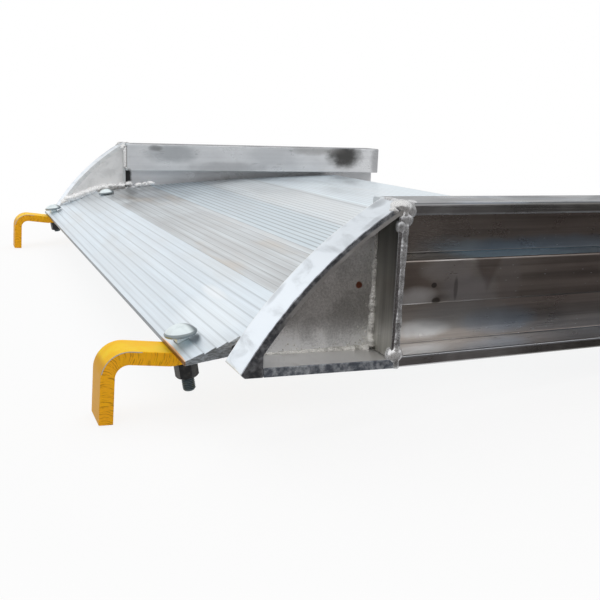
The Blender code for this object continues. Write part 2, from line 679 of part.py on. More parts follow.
def build_nut(bolt_name, x, y, finish, collection, cutters):
    """Build a hexagon nut with its corners turned off, under the hook."""
    across_corners = NUT_ACROSS_FLATS / math.cos(math.pi / 6.0)
    mesh = bpy.data.meshes.new(f"{bolt_name}_nut")
    body = bmesh.new()
    centre = nut_top() - NUT_HEIGHT / 2.0
    middle = Matrix.Translation((0.0, 0.0, centre)) @ Matrix.Rotation(NUT_TURN, 4, "Z")
    bmesh.ops.create_cone(body, cap_ends=True, segments=6, radius1=across_corners / 2.0,
                          radius2=across_corners / 2.0, depth=NUT_HEIGHT, matrix=middle)
    body.to_mesh(mesh)
    body.free()
    mesh.materials.append(finish)
    nut = bpy.data.objects.new(f"{bolt_name}_nut", mesh)
    collection.objects.link(nut)

    wide = across_corners / 2.0 + BARREL_ROOM
    slim = NUT_ACROSS_FLATS / 2.0 - BARREL_ROOM
    top, low = centre + NUT_HEIGHT / 2.0 + PAST, centre - NUT_HEIGHT / 2.0 - PAST
    barrel = bpy.data.objects.new(f"{bolt_name}_barrel", bpy.data.meshes.new(f"{bolt_name}_barrel"))
    hide_cutter(barrel, cutters)
    turn_profile(barrel, [(0.0, top), (slim, top), (wide, top - NUT_CHAMFER), (wide, low + NUT_CHAMFER),
                          (slim, low), (0.0, low)])
    hole = round_cutter(f"{bolt_name}_nut_hole", BOLT_DIAMETER / 2.0 + GAP, NUT_HEIGHT * 3.0, middle,
                        cutters)
    apply_boolean(nut, barrel, "INTERSECT")
    apply_boolean(nut, hole, "DIFFERENCE")
    for piece in (nut, barrel, hole):
        piece.matrix_basis = bolt_axis(x, y)
    return nut


def ground_placement():
    """Return the matrix that sets the ramp down on its hook tips and its rails' far ends."""
    foot = hook_centre_line()[-1]
    across = Vector((math.cos(HOOK_LEG_LEAN), -math.sin(HOOK_LEG_LEAN))) * HOOK_THICKNESS / 2.0
    corners = (foot + across, foot - across)
    tilt = max(math.atan2(-corner.y, RAIL_LENGTH - corner.x) for corner in corners)
    turn = Matrix.Rotation(tilt, 4, "Y")
    far_top = turn @ Vector((RAIL_LENGTH, 0.0, RAIL_HEIGHT))
    near_low = min((turn @ Vector((corner.x, 0.0, corner.y))).x for corner in corners)
    floor = (turn @ Vector((RAIL_LENGTH, 0.0, 0.0))).z
    return Matrix.Translation((-(far_top.x + near_low) / 2.0, 0.0, -floor)) @ turn


def build_ramp():
    """Build every piece and set the ramp down on the ground."""
    clear_scene()
    ramp = new_collection("hook_style_walk_ramp")
    cutters = new_collection("cutters")
    rail_finish = new_material("mill_aluminium_rail", RAIL_ALUMINIUM, 0.9, 0.38)
    end_finish = new_material("ground_aluminium_end", ALUMINIUM, 0.9, 0.42)
    weld_finish = new_material("weld_bead", ALUMINIUM, 0.95, 0.25)
    deck_finish = new_material("ribbed_aluminium_deck", ALUMINIUM, 0.9, 0.35)
    hook_finish = new_material("yellow_paint", HOOK_YELLOW, 0.0, 0.42)
    bolt_finish = new_material("zinc_plate", ZINC, 1.0, 0.28)
    nut_finish = new_material("black_oxide", BLACK_STEEL, 0.7, 0.5)

    pieces = [build_rail(side, rail_finish, ramp) for side in (-1, 1)]
    for side in (-1, 1):
        pieces += build_rail_end(side, end_finish, ramp)
        pieces.append(build_end_weld(side, weld_finish, ramp))
    planks = build_deck(deck_finish, ramp)
    pieces += planks
    for name in HOOK_CENTRES:
        pieces.append(build_hook(name, hook_finish, ramp, cutters))
        cut_bolt_seats(name, planks[0], planks[1], cutters)
        for bolt_name, x, y, seat, thread in hook_bolts(name):
            pieces.append(build_bolt(bolt_name, x, y, seat, thread, bolt_finish, ramp, cutters))
            pieces.append(build_nut(bolt_name, x, y, nut_finish, ramp, cutters))

    datum = bpy.data.objects.new("ground_datum", None)
    ramp.objects.link(datum)
    for piece in pieces + list(cutters.objects):
        piece.parent = datum
    datum.matrix_world = ground_placement()
    bpy.context.view_layer.update()
    return pieces


build_ramp()
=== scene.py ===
"""Looks of a hook style walk ramp: mill aluminium rails and planks, weld beads, painted hooks, bolts.

The ramp is dressed in its own frame, in millimetres: X runs along the walk from the hook end (-X), with
x = 0 where the rail ends meet the rails; Y runs across, the left rail at +Y; Z is up from the rails'
undersides. Placement turns that frame into the world's, in metres. The finishes work in that frame too:
their numbers are places in millimetres, colours, waves per millimetre and shares of a noise.
"""

import logging
import math
from dataclasses import dataclass, field
from enum import Enum
from typing import Callable, Dict, List, Optional, Sequence, Tuple, Union

import bmesh
import bpy
from mathutils import Matrix, Vector, noise


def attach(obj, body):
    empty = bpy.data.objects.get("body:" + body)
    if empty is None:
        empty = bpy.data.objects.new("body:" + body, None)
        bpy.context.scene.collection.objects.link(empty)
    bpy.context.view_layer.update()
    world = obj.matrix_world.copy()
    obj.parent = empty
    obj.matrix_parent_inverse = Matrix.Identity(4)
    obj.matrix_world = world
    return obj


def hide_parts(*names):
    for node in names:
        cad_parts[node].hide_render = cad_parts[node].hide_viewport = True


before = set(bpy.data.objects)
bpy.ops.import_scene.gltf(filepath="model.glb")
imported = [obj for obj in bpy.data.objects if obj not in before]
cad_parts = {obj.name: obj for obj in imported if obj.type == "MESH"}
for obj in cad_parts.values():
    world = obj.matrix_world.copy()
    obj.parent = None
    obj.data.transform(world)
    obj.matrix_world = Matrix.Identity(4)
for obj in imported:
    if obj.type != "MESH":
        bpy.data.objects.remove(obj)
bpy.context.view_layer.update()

LOG = logging.getLogger("walk_ramp")
BODY = "root"
MM = 0.001
CAD_MERGE = 2e-6
MERGE = 1e-3
FLAT = math.radians(0.6)
Colour = Tuple[float, float, float]
Number = Union[int, float]
Scale = Union[float, Tuple[float, float, float]]
Socket = bpy.types.NodeSocket
Material = bpy.types.Material


class Side(Enum):
    """The two sides of the walk, with the sign of Y on each."""

    RIGHT = -1
    LEFT = 1

    @property
    def word(self) -> str:
        """The side's name, as nodes spell it."""
        return self.name.lower()


HOOK_CENTRES = {Side.RIGHT: -462.3, Side.LEFT: 510.0}
BAR_THICKNESS = 12.7
BOLT_LEAN = math.radians(9.0)
NOSE_UNDERSIDE = math.radians(7.0)
CAP_CENTRE = (199.4, -205.0)


@dataclass(frozen=True)
class Placement:
    """Where the ramp's own frame stands in the world."""

    tilt: float = math.radians(4.599053)
    origin: Tuple[float, float, float] = (-0.1836785, 0.0, 0.0476284)

    def to_world(self) -> Matrix:
        """Return the matrix from ramp millimetres to world metres."""
        return (Matrix.Translation(self.origin) @ Matrix.Rotation(self.tilt, 4, "Y")
                @ Matrix.Diagonal((MM, MM, MM, 1.0)))

    def to_ramp(self) -> Matrix:
        """Return the matrix from world metres to ramp millimetres."""
        return self.to_world().inverted()


PLACE = Placement()


@dataclass(frozen=True)
class Patch:
    """A soft-edged patch of another colour; its centre has None on an axis that it ignores."""

    centre: Tuple[Optional[float], Optional[float], Optional[float]]
    reach: Tuple[float, float, float]
    colour: Colour
    amount: float = 1.0
    soft: float = 0.9


def on_wall(wall: float, depth: float, *rows: Tuple) -> Tuple[Patch, ...]:
    """Return patches on an upright wall that runs along the walk.

    Args:
        wall: the wall's distance from the middle.
        depth: how far off the wall they reach.
        rows: x, z, half length, half height, colour, amount and, where it differs, softness of each.

    Returns:
        The patches.
    """
    return tuple(Patch((x, wall, z), (long, depth, high), *rest) for x, z, long, high, *rest in rows)


def grey(tone: float) -> Colour:
    """Return a colour without a hue."""
    return (tone, tone, tone)


# Shader expressions


class Graph:
    """The node tree of one material or world, built through expressions on its signals."""

    def __init__(self, owner: Union[Material, bpy.types.World]) -> None:
        """Empty a node tree.

        Args:
            owner: the material or world that has it.
        """
        owner.use_nodes = True
        self.owner = owner
        self.tree = owner.node_tree
        self.tree.nodes.clear()
        self.place: Optional[Socket] = None

    def add(self, kind: str, settings: Optional[Dict[str, object]] = None,
            values: Optional[Dict[Union[str, int], object]] = None) -> bpy.types.Node:
        """Add a node, set it up and feed its sockets.

        Args:
            kind: the node's type name.
            settings: properties of the node, set first.
            values: numbers, tuples, signals or sockets for its inputs, by name or index.

        Returns:
            The node.
        """
        node = self.tree.nodes.new(kind)
        for key, value in (settings or {}).items():
            setattr(node, key, value)
        for key, value in (values or {}).items():
            self.feed(node.inputs[key], value)
        return node

    def feed(self, socket: Socket, value: object) -> None:
        """Link a signal or socket to an input, or set the input's own value.

        Args:
            socket: the input.
            value: a signal, a socket, a number or a tuple.
        """
        if isinstance(value, Signal):
            value = value.socket
        if isinstance(value, Socket):
            self.tree.links.new(value, socket)
        elif isinstance(value, tuple) and len(value) == 3 and socket.type == "RGBA":
            socket.default_value = (*value, 1.0)
        else:
            socket.default_value = value

    def signal(self, node: bpy.types.Node, output: Union[str, int] = 0) -> "Signal":
        """Return one output of a node as a signal."""
        return Signal(self, node.outputs[output])

    def follow_object(self) -> Socket:
        """Let the patterns follow the object's own coordinates, and return these."""
        self.place = self.add("ShaderNodeTexCoord").outputs["Object"]
        return self.place

    def axes(self, vector: Socket) -> Tuple["Signal", "Signal", "Signal"]:
        """Split a vector into its three signals."""
        split = self.add("ShaderNodeSeparateXYZ", values={"Vector": vector})
        return self.signal(split, "X"), self.signal(split, "Y"), self.signal(split, "Z")

    def _stretched(self, vector: Socket, scale: Scale) -> Socket:
        """Scale a vector, evenly or axis by axis.

        Args:
            vector: the vector.
            scale: the factor, or one for each axis.

        Returns:
            The scaled vector.
        """
        scale = scale if isinstance(scale, tuple) else grey(scale)
        node = self.add("ShaderNodeVectorMath", {"operation": "MULTIPLY"}, {0: vector, 1: scale})
        return node.outputs[0]

    def noise(self, scale: Scale, detail: float = 3.0, roughness: float = 0.55, distortion: float = 0.0,
              vector: Optional[Socket] = None) -> "Signal":
        """Return fractal noise around 0.5.

        Args:
            scale: its waves per unit of length, evenly or on each axis.
            detail: how many finer layers it has.
            roughness: how strong these are.
            distortion: how far it is stirred.
            vector: what it follows; the place when it is left out.

        Returns:
            The noise.
        """
        vector = self.place if vector is None else vector
        node = self.add("ShaderNodeTexNoise", {"noise_dimensions": "3D"}, {
            "Vector": self._stretched(vector, scale), "Scale": 1.0, "Detail": detail,
            "Roughness": roughness, "Distortion": distortion})
        return self.signal(node)

    def cells(self, scale: Scale) -> "Signal":
        """Return the distance to scattered points, in cells."""
        node = self.add("ShaderNodeTexVoronoi", {"feature": "F1"}, {
            "Vector": self._stretched(self.place, scale), "Scale": 1.0, "Randomness": 1.0})
        return self.signal(node, "Distance")

    def mix(self, mask: object, first: object, second: object) -> "Signal":
        """Blend two colours: the first where the mask is 0, the second where it is 1."""
        node = self.add("ShaderNodeMix", {"data_type": "RGBA", "blend_type": "MIX", "clamp_factor": True},
                        {0: mask, 6: first, 7: second})
        return self.signal(node, 2)

    def seen(self) -> "Signal":
        """Tell what is looked at from what is only lit.

        Returns:
            1 where the camera or a reflection looks, and 0 for the light that falls on things.
        """
        path = self.add("ShaderNodeLightPath")
        camera, glossy, clear = (self.signal(path, f"Is {ray} Ray")
                                 for ray in ("Camera", "Glossy", "Transmission"))
        return camera.most(glossy).most(clear)


class Surface(Graph):
    """The material of a piece, whose patterns follow the place on the ramp."""

    def __init__(self, name: str) -> None:
        """Make the material and the signals of its place.

        Args:
            name: the material's name.
        """
        super().__init__(bpy.data.materials.new(name))
        mapping = self.add("ShaderNodeMapping", {"vector_type": "POINT"}, {
            "Vector": self.follow_object(), "Location": tuple(PLACE.to_ramp().to_translation()),
            "Rotation": (0.0, -PLACE.tilt, 0.0), "Scale": grey(1.0 / MM)})
        self.place = mapping.outputs["Vector"]
        self.x, self.y, self.z = self.axes(self.place)
        self.side = self.y.size()

    def shade(self, colour: object, factor: "Signal") -> "Signal":
        """Multiply a colour by a grey signal.

        Args:
            colour: the colour.
            factor: the signal.

        Returns:
            The shaded colour.
        """
        tone = self.add("ShaderNodeCombineXYZ", values={0: factor, 1: factor, 2: factor}).outputs[0]
        node = self.add("ShaderNodeMix", {"data_type": "RGBA", "blend_type": "MULTIPLY"},
                        {0: 1.0, 6: colour, 7: tone})
        return self.signal(node, 2)

    def patched(self, colour: object, patches: Sequence[Patch], ragged: "Signal",
                signed: bool = False) -> object:
        """Lay patches over a colour.

        Args:
            colour: the colour below.
            patches: the patches, the last one on top.
            ragged: noise that tears their edges.
            signed: whether they lie on one side of the ramp alone, and not on both.

        Returns:
            The colour with its patches.
        """
        axes = (self.x, self.y if signed else self.side, self.z)
        for patch in patches:
            total: object = (ragged - 0.5) * 1.4
            for axis, middle, half in zip(axes, patch.centre, patch.reach):
                if middle is not None:
                    total = total + ((axis - middle) / half).squared()
            mask = total.smooth(1.0 - patch.soft, 1.0 + patch.soft, patch.amount, 0.0)
            colour = self.mix(mask, colour, patch.colour)
        return colour

    def bump(self, height: "Signal", distance: float, strength: float) -> "Signal":
        """Return a normal from a height, whose full range stands for this many millimetres."""
        node = self.add("ShaderNodeBump", values={
            "Strength": strength, "Distance": distance * MM, "Height": height})
        return self.signal(node, "Normal")

    def close(self, colour: object, roughness: object, normal: "Signal", metallic: object = 1.0,
              specular: float = 0.5) -> Material:
        """Close the tree with a Principled shader.

        Args:
            colour: its base colour.
            roughness: its roughness.
            normal: its normal.
            metallic: how far it is metal.
            specular: how strongly what isn't metal reflects.

        Returns:
            The finished material.
        """
        shader = self.add("ShaderNodeBsdfPrincipled", values={
            "Base Color": colour, "Roughness": roughness, "Metallic": metallic,
            "Specular IOR Level": specular, "Normal": normal})
        self.add("ShaderNodeOutputMaterial", values={"Surface": shader.outputs[0]})
        return self.owner


def operator(operation: str, turned: bool = False) -> Callable[["Signal", object], "Signal"]:
    """Return a method of Signal that adds one Math node.

    Args:
        operation: the node's operation.
        turned: whether the signal is the second value.

    Returns:
        The method.
    """
    def apply(signal: "Signal", other: object) -> "Signal":
        """Add the Math node over a signal and another value."""
        return signal.math(operation, *((other, signal) if turned else (signal, other)))

    return apply


class Signal:
    """A shader value that Python's operators work on, by adding Math nodes."""

    def __init__(self, graph: Graph, socket: Socket) -> None:
        """Wrap one output socket of a graph."""
        self.graph = graph
        self.socket = socket

    def math(self, operation: str, *values: object) -> "Signal":
        """Add one Math node over these values."""
        node = self.graph.add("ShaderNodeMath", {"operation": operation}, dict(enumerate(values)))
        return Signal(self.graph, node.outputs[0])

    __add__ = __radd__ = operator("ADD")
    __sub__ = operator("SUBTRACT")
    __rsub__ = operator("SUBTRACT", turned=True)
    __mul__ = __rmul__ = operator("MULTIPLY")
    __truediv__ = operator("DIVIDE")
    most = operator("MAXIMUM")

    def squared(self) -> "Signal":
        """Multiply by itself."""
        return self.math("MULTIPLY", self, self)

    def size(self) -> "Signal":
        """Drop the sign."""
        return self.math("ABSOLUTE", self)

    def fraction(self) -> "Signal":
        """Keep what follows the point."""
        return self.math("FRACT", self)

    def smooth(self, low: Number, high: Number, first: Number = 0.0, last: Number = 1.0) -> "Signal":
        """Go smoothly from first at low to last at high, and stay there outside."""
        node = self.graph.add("ShaderNodeMapRange", {"interpolation_type": "SMOOTHSTEP"}, {
            0: self, 1: low, 2: high, 3: first, 4: last})
        return Signal(self.graph, node.outputs[0])

    def fall(self, low: Number, high: Number) -> "Signal":
        """Go smoothly from 1 at low to 0 at high."""
        return self.smooth(low, high, 1.0, 0.0)

    def vary(self, first: Number = 0.0, last: Number = 1.0) -> "Signal":
        """Spread the usual range of a noise from first to last."""
        return self.smooth(0.3, 0.7, first, last)

    def band(self, low: Number, high: Number, soft: Number) -> "Signal":
        """Return 1 between low and high and 0 outside, with soft edges."""
        return self.smooth(low - soft, low) * self.fall(high, high + soft)


# Mesh helpers


class Work:
    """A mesh in the making, in the ramp's own frame in millimetres."""

    def __init__(self, name: str, node: Optional[str] = None) -> None:
        """Start from nothing, or from a merged copy of a CAD node.

        Args:
            name: the finished piece's name.
            node: the CAD node to copy.
        """
        self.name = name
        self.body = bmesh.new()
        self.ring: List[bmesh.types.BMVert] = []
        if node is not None:
            self.body.from_mesh(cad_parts[node].data)
            bmesh.ops.remove_doubles(self.body, verts=self.body.verts, dist=CAD_MERGE)
            self.body.transform(PLACE.to_ramp())
            bmesh.ops.dissolve_limit(self.body, angle_limit=FLAT, verts=self.body.verts,
                                     edges=self.body.edges)

    def bevel(self, width: float, angle: float = 40.0, segments: int = 2,
              edges: Optional[Sequence[bmesh.types.BMEdge]] = None) -> "Work":
        """Round edges.

        Args:
            width: how far in the rounding starts, in millimetres.
            angle: outward edges sharper than this many degrees are rounded.
            segments: steps across the rounding.
            edges: the edges to round instead.

        Returns:
            This work.
        """
        if edges is None:
            edges = [edge for edge in self.body.edges if len(edge.link_faces) == 2 and edge.is_convex
                     and edge.calc_face_angle(0.0) > math.radians(angle)]
        bmesh.ops.bevel(self.body, geom=edges, offset=width, offset_type="OFFSET", segments=segments,
                        profile=0.5, affect="EDGES", clamp_overlap=True, material=-1)
        return self

    def start_ring(self, matrix: Matrix, sides: int, radius: float) -> None:
        """Start a sweep with a ring of edges on the matrix's X-Y plane."""
        made = bmesh.ops.create_circle(self.body, cap_ends=False, segments=sides, radius=radius,
                                       matrix=matrix)
        self.ring = made["verts"]

    def start_bar(self, matrix: Matrix, width: float, depth: float, rounding: float) -> None:
        """Start a sweep with a rounded rectangle on the matrix's X-Y plane.

        Args:
            matrix: the section's place.
            width: its size along X.
            depth: its size along Y.
            rounding: the radius of its corners.
        """
        made = bmesh.ops.create_grid(self.body, x_segments=1, y_segments=1, size=0.5,
                                     matrix=matrix @ Matrix.Diagonal((width, depth, 1.0, 1.0)))
        bmesh.ops.bevel(self.body, geom=made["verts"], offset=rounding, offset_type="OFFSET", segments=3,
                        profile=0.5, affect="VERTICES", material=-1)
        bmesh.ops.delete(self.body, geom=self.body.faces[:], context="FACES_ONLY")
        self.ring = self.body.verts[:]

    def _ring_edges(self) -> List[bmesh.types.BMEdge]:
        """Return the edges of the current ring."""
        ring = set(self.ring)
        return [edge for edge in self.body.edges if edge.verts[0] in ring and edge.verts[1] in ring
                and len(edge.link_faces) < 2]

    def _take_ring(self, items: Sequence[object]) -> None:
        """Make the vertices among these items the current ring."""
        self.ring = [item for item in items if isinstance(item, bmesh.types.BMVert)]

    def extend(self, step: Vector) -> None:
        """Carry the ring straight on.

        Args:
            step: how far and which way.
        """
        made = bmesh.ops.extrude_edge_only(self.body, edges=self._ring_edges())
        self._take_ring(made["geom"])
        bmesh.ops.translate(self.body, verts=self.ring, vec=step)

    def turn(self, centre: Vector, axis: Vector, angle: float, steps: int) -> None:
        """Carry the ring round a bend."""
        made = bmesh.ops.spin(self.body, geom=self.ring + self._ring_edges(), cent=centre, axis=axis,
                              angle=angle, steps=steps, use_merge=False, use_duplicate=False)
        self._take_ring(made["geom_last"])

    def close_ends(self) -> None:
        """Fill the open ends."""
        bmesh.ops.holes_fill(self.body, edges=[edge for edge in self.body.edges if edge.is_boundary],
                             sides=0)

    def lathe(self, profile: Sequence[Tuple[float, float]], steps: int, fall: float = 0.0) -> None:
        """Carry a half section of radii and heights once round Z.

        Args:
            profile: the half section.
            steps: how many steps a turn has.
            fall: how far the section drops in the turn, as a thread's does.
        """
        verts = [self.body.verts.new((radius, 0.0, height)) for radius, height in profile]
        edges = [self.body.edges.new(pair) for pair in zip(verts, verts[1:])]
        bmesh.ops.spin(self.body, geom=verts + edges, cent=(0.0, 0.0, 0.0), axis=(0.0, 0.0, 1.0),
                       angle=math.tau, steps=steps, dvec=(0.0, 0.0, -fall / steps), use_merge=not fall)

    def blob(self, centre: Vector, reach: Vector, uneven: float, detail: int = 3) -> None:
        """Add a drop of metal: an uneven ball stretched along the axes.

        Args:
            centre: its middle.
            reach: its half sizes.
            uneven: how far its surface strays.
            detail: how finely it is divided.
        """
        place = Matrix.Translation(centre) @ Matrix.Diagonal((*reach, 1.0))
        made = bmesh.ops.create_icosphere(self.body, subdivisions=detail, radius=1.0, matrix=place)
        size = max(reach)
        for vert in made["verts"]:
            vert.co += (vert.co - centre) * uneven * noise.noise(vert.co / size * 1.3 + centre)

    def finish(self, material: Material, slot: str, replaces: Sequence[str] = (),
               smooth: float = 35.0, weighted: bool = True) -> None:
        """Make the work an object in the world, riding on the ramp.

        Args:
            material: its material.
            slot: not used.
            replaces: the CAD nodes that it stands for.
            smooth: edges sharper than this many degrees stay sharp.
            weighted: keep large faces flat beside small ones.
        """
        bmesh.ops.remove_doubles(self.body, verts=self.body.verts, dist=MERGE)
        bmesh.ops.recalc_face_normals(self.body, faces=self.body.faces)
        self.body.transform(PLACE.to_world())
        for face in self.body.faces:
            face.smooth = True
        mesh = bpy.data.meshes.new(self.name)
        self.body.to_mesh(mesh)
        self.body.free()
        mesh.set_sharp_from_angle(angle=math.radians(smooth))
        mesh.materials.append(material)
        piece = bpy.data.objects.new(self.name, mesh)
        bpy.context.scene.collection.objects.link(piece)
        if weighted:
            piece.modifiers.new("flat_faces", "WEIGHTED_NORMAL").keep_sharp = True
        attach(piece, BODY)
        if replaces:
            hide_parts(*replaces)
        LOG.info("%s: %d faces", self.name, len(mesh.polygons))


# Finishes


@dataclass(frozen=True)
class PlankFinish:
    """Mill aluminium of one plank, with a painted shade line along each rib's edge, fading with distance.
    """

    name: str
    first_edge: float
    pitch: float
    light: Colour
    dark: Colour
    edge_width: float
    edge_shade: float
    warm: Colour = (0.55, 0.45, 0.33)
    warmth: float = 0.12
    last_edge: float = 1.0e4
    wrap: float = 0.0
    end_face: float = 522.0
    front_face: float = -165.7
    faded: Tuple[float, float, float] = (140.0, 230.0, 0.45)
    patches: Tuple[Patch, ...] = ()

    def build(self) -> Material:
        """Build the plank's material.

        Returns:
            The material.
        """
        graph = Surface(self.name)
        x, width = graph.x, self.edge_width
        grain = graph.noise((0.9, 0.006, 0.9), detail=4.0, roughness=0.6)
        streaks = graph.noise((0.16, 0.0025, 0.16))
        cloud = graph.noise((0.012, 0.008, 0.012), detail=4.0, distortion=0.6)
        colour = graph.mix((streaks * 0.6 + cloud * 0.4).vary(), self.dark, self.light)
        stain = graph.noise((0.02, 0.005, 0.02)).smooth(0.52, 0.72)
        colour = graph.mix(stain * self.warmth, colour, self.warm)
        ragged = graph.noise((0.05, 0.012, 0.05), detail=4.0)
        colour = graph.patched(colour, self.patches, ragged, signed=True)
        along = x - self.first_edge
        if self.wrap > 0.0:
            along = (along / self.wrap).fraction() * self.wrap
        rib = (along / self.pitch).fraction() * self.pitch
        crest = rib.smooth(self.pitch - width, self.pitch - 0.4 * width)
        foot = rib.smooth(0.0, 0.9 * width, 0.45, 0.0)
        ends = graph.y.fall(-self.end_face - 0.4, -self.end_face)
        lines = crest.most(foot) * x.fall(self.last_edge, self.last_edge + 1.0)
        lines = lines * streaks.smooth(0.2, 0.8, 0.7, 1.1) * (1.0 - ends)
        fade_from, fade_to, left = self.faded
        lines = lines * x.smooth(fade_from, fade_to, 1.0, left)
        shade = (1.0 - lines * self.edge_shade) * grain.smooth(0.25, 0.75, 0.95, 1.04)
        scratches = graph.noise((0.25, 0.9, 0.9)).smooth(0.4, 0.62, 0.45, 0.05)
        # Painted shade on the front face.
        front = x.smooth(self.front_face, self.front_face + 0.4, 0.72, 0.0)
        shade = shade * (1.0 - ends * scratches) * (1.0 - front)
        roughness = cloud.vary(0.3, 0.42) + (grain - 0.5) * 0.12
        normal = graph.bump(grain * 0.6 + streaks * 0.4, 0.25, 0.6)
        return graph.close(graph.shade(colour, shade), roughness, normal)


@dataclass(frozen=True)
class RailFinish:
    """Mill aluminium of a side rail: light on its inner side; smudges and painted reflections elsewhere."""

    name: str = "mill_aluminium_rail_metal"
    inner_light: Colour = (0.90, 0.91, 0.93)
    inner_dark: Colour = (0.76, 0.77, 0.79)
    inner_metal: float = 0.25
    cut_end: Colour = (0.62, 0.67, 0.70)
    channel_near: Colour = (0.36, 0.33, 0.305)
    channel_far: Colour = (0.215, 0.185, 0.17)
    lip_near: Colour = (0.30, 0.30, 0.305)
    lip_far: Colour = (0.15, 0.145, 0.135)
    lip_edge: Colour = (0.66, 0.7, 0.74)
    top_near: Colour = (0.16, 0.165, 0.175)
    top_far: Colour = (0.10, 0.108, 0.118)
    top_shine: Colour = (0.26, 0.30, 0.36)
    ledge: Colour = (0.62, 0.84, 1.0)
    speck: Colour = (0.75, 0.78, 0.82)
    gloss: float = 0.12
    inside: float = 533.5
    web: float = 537.5
    band: float = 568.0
    fade: Tuple[float, float] = (20.0, 230.0)

    def inner_patches(self) -> Tuple[Patch, ...]:
        """Return the stains on the rail's inner side, and a painted shadow in the slot at its end."""
        return on_wall(
            self.inside, 9.0,
            (505.0, 122.0, 40.0, 26.0, (0.06, 0.058, 0.055), 0.95),
            (430.0, 134.0, 60.0, 10.0, (0.3, 0.29, 0.28), 0.5),
            (592.0, 112.0, 16.0, 40.0, (0.3, 0.3, 0.31), 0.6),
            (225.0, 94.0, 80.0, 10.0, (0.46, 0.47, 0.49), 0.6),
            (95.0, 122.0, 52.0, 18.0, (0.4, 0.42, 0.44), 0.6),
            (330.0, 118.0, 50.0, 30.0, (0.5, 0.51, 0.53), 0.3),
            (60.0, 132.0, 14.0, 6.0, grey(0.2), 0.6),
        # A painted shadow in the slot at the rail's end.
        ) + (Patch((2.0, 566.0, 68.0), (12.0, 70.0, 20.0), grey(0.03), 0.97, 0.5),)

    def channel_patches(self) -> Tuple[Patch, ...]:
        """Return the painted reflections and highlights of the channel's web and band, and its dark
        smudges.
        """
        return on_wall(
            self.web, 6.0,
            (50.0, 106.0, 20.0, 24.0, (0.48, 0.44, 0.41), 0.8),
            (190.0, 92.0, 120.0, 9.0, (0.24, 0.28, 0.33), 0.8),
            (80.0, 95.0, 34.0, 8.0, (0.4, 0.41, 0.42), 0.6),
            # Painted highlight on the lower web.
            (58.0, 17.0, 26.0, 8.0, grey(0.95), 0.95),
            (100.0, 30.0, 46.0, 14.0, grey(0.46), 0.7),
            (145.0, 20.0, 40.0, 12.0, (0.4, 0.44, 0.5), 0.75),
            (150.0, 44.0, 10.0, 3.0, (0.1, 0.09, 0.09), 0.7, 0.6),
        ) + on_wall(
            self.band, 6.0,
            (34.0, 74.0, 22.0, 15.0, (0.36, 0.30, 0.265), 0.7),
            (63.0, 79.0, 26.0, 12.0, (0.62, 0.6, 0.59), 0.8),
            (86.0, 58.0, 28.0, 15.0, (0.5, 0.49, 0.5), 0.8),
            # Painted highlight on the band.
            (30.0, 55.0, 18.0, 8.0, grey(0.95), 0.95),
            (128.0, 68.0, 12.0, 22.0, (0.34, 0.31, 0.3), 0.6),
            (47.0, 65.0, 2.6, 2.2, (0.08, 0.07, 0.07), 0.8, 0.5),
            (50.0, 51.0, 4.6, 3.0, (0.1, 0.09, 0.08), 0.85, 0.5),
            (70.0, 61.0, 2.0, 10.0, (0.16, 0.15, 0.15), 0.6, 0.6))

    def build(self) -> Material:
        """Build the rail's material: its channel, its lips and top, its inner side, its cut ends.

        Returns:
            The material.
        """
        graph = Surface(self.name)
        x, side, z = graph.x, graph.side, graph.z
        draw = graph.noise((0.004, 0.8, 0.8), detail=4.0, roughness=0.6)
        streak = graph.noise((0.003, 0.09, 0.12))
        cloud = graph.noise((0.016, 0.02, 0.022), detail=4.0, distortion=0.8)
        ragged = graph.noise((0.05, 0.05, 0.08), detail=4.0)
        tone = streak * 0.45 + cloud * 0.55
        away = x.smooth(*self.fade)
        top = z.smooth(138.6, 139.4)

        # Painted dark reflection: the channel's brown darkens away from the hook end, and the web below z =
        # 44 is painted lighter.
        colour = graph.mix(away, self.channel_near, self.channel_far)
        colour = graph.shade(colour, streak.vary(0.72, 1.3) * z.smooth(44.0, 48.0, 1.55, 1.0))
        colour = graph.patched(colour, self.channel_patches(), ragged)
        smudge = (z - 58.0 - (x - 104.0).size() * 1.75 + (ragged - 0.5) * 14.0).smooth(-4.0, 9.0)
        smudge = smudge * side.band(self.band - 1.0, self.band + 1.0, 1.0)
        colour = graph.mix(smudge * x.band(84.0, 122.0, 6.0) * 0.45, colour, (0.15, 0.12, 0.11))
        # Painted bluish highlight along the ledge.
        ledge = z.smooth(87.9, 88.3) * side.band(self.web + 0.6, self.band + 0.4, 0.4)
        ledge = ledge * z.fall(89.2, 89.6)
        shine = x.smooth(60.0, 100.0) * x.smooth(150.0, 260.0, 1.0, 0.4)
        colour = graph.mix(ledge * shine, colour, self.ledge)
        # Painted reflection on the shelf: white near the hook end, bluish further on.
        shelf = z.fall(4.2, 4.8) * side.smooth(self.web - 1.0, self.web)
        shelf_reflection = graph.mix(x.smooth(90.0, 230.0), grey(1.0), (0.36, 0.43, 0.5))
        colour = graph.mix(shelf, colour, graph.shade(shelf_reflection, tone.vary(0.8, 1.15)))
        specks = graph.cells((0.09, 0.12, 0.3)).fall(0.05, 0.11)
        specks = specks * graph.noise((0.012, 0.02, 0.02)).smooth(0.48, 0.56)
        colour = graph.mix(specks * 0.75, colour, self.speck)

        # Painted reflection on the lips: brown, darker away from the hook end, and painted lighter low
        # down.
        lip_colour = graph.mix(away, self.lip_near, self.lip_far)
        lower_lip_light = 1.0 + z.fall(20.0, 60.0) * away.smooth(0.0, 1.0, 0.9, 0.15)
        lip_colour = graph.shade(lip_colour, tone.vary(0.75, 1.3) * lower_lip_light)
        colour = graph.mix(side.smooth(586.6, 587.2), colour, lip_colour)
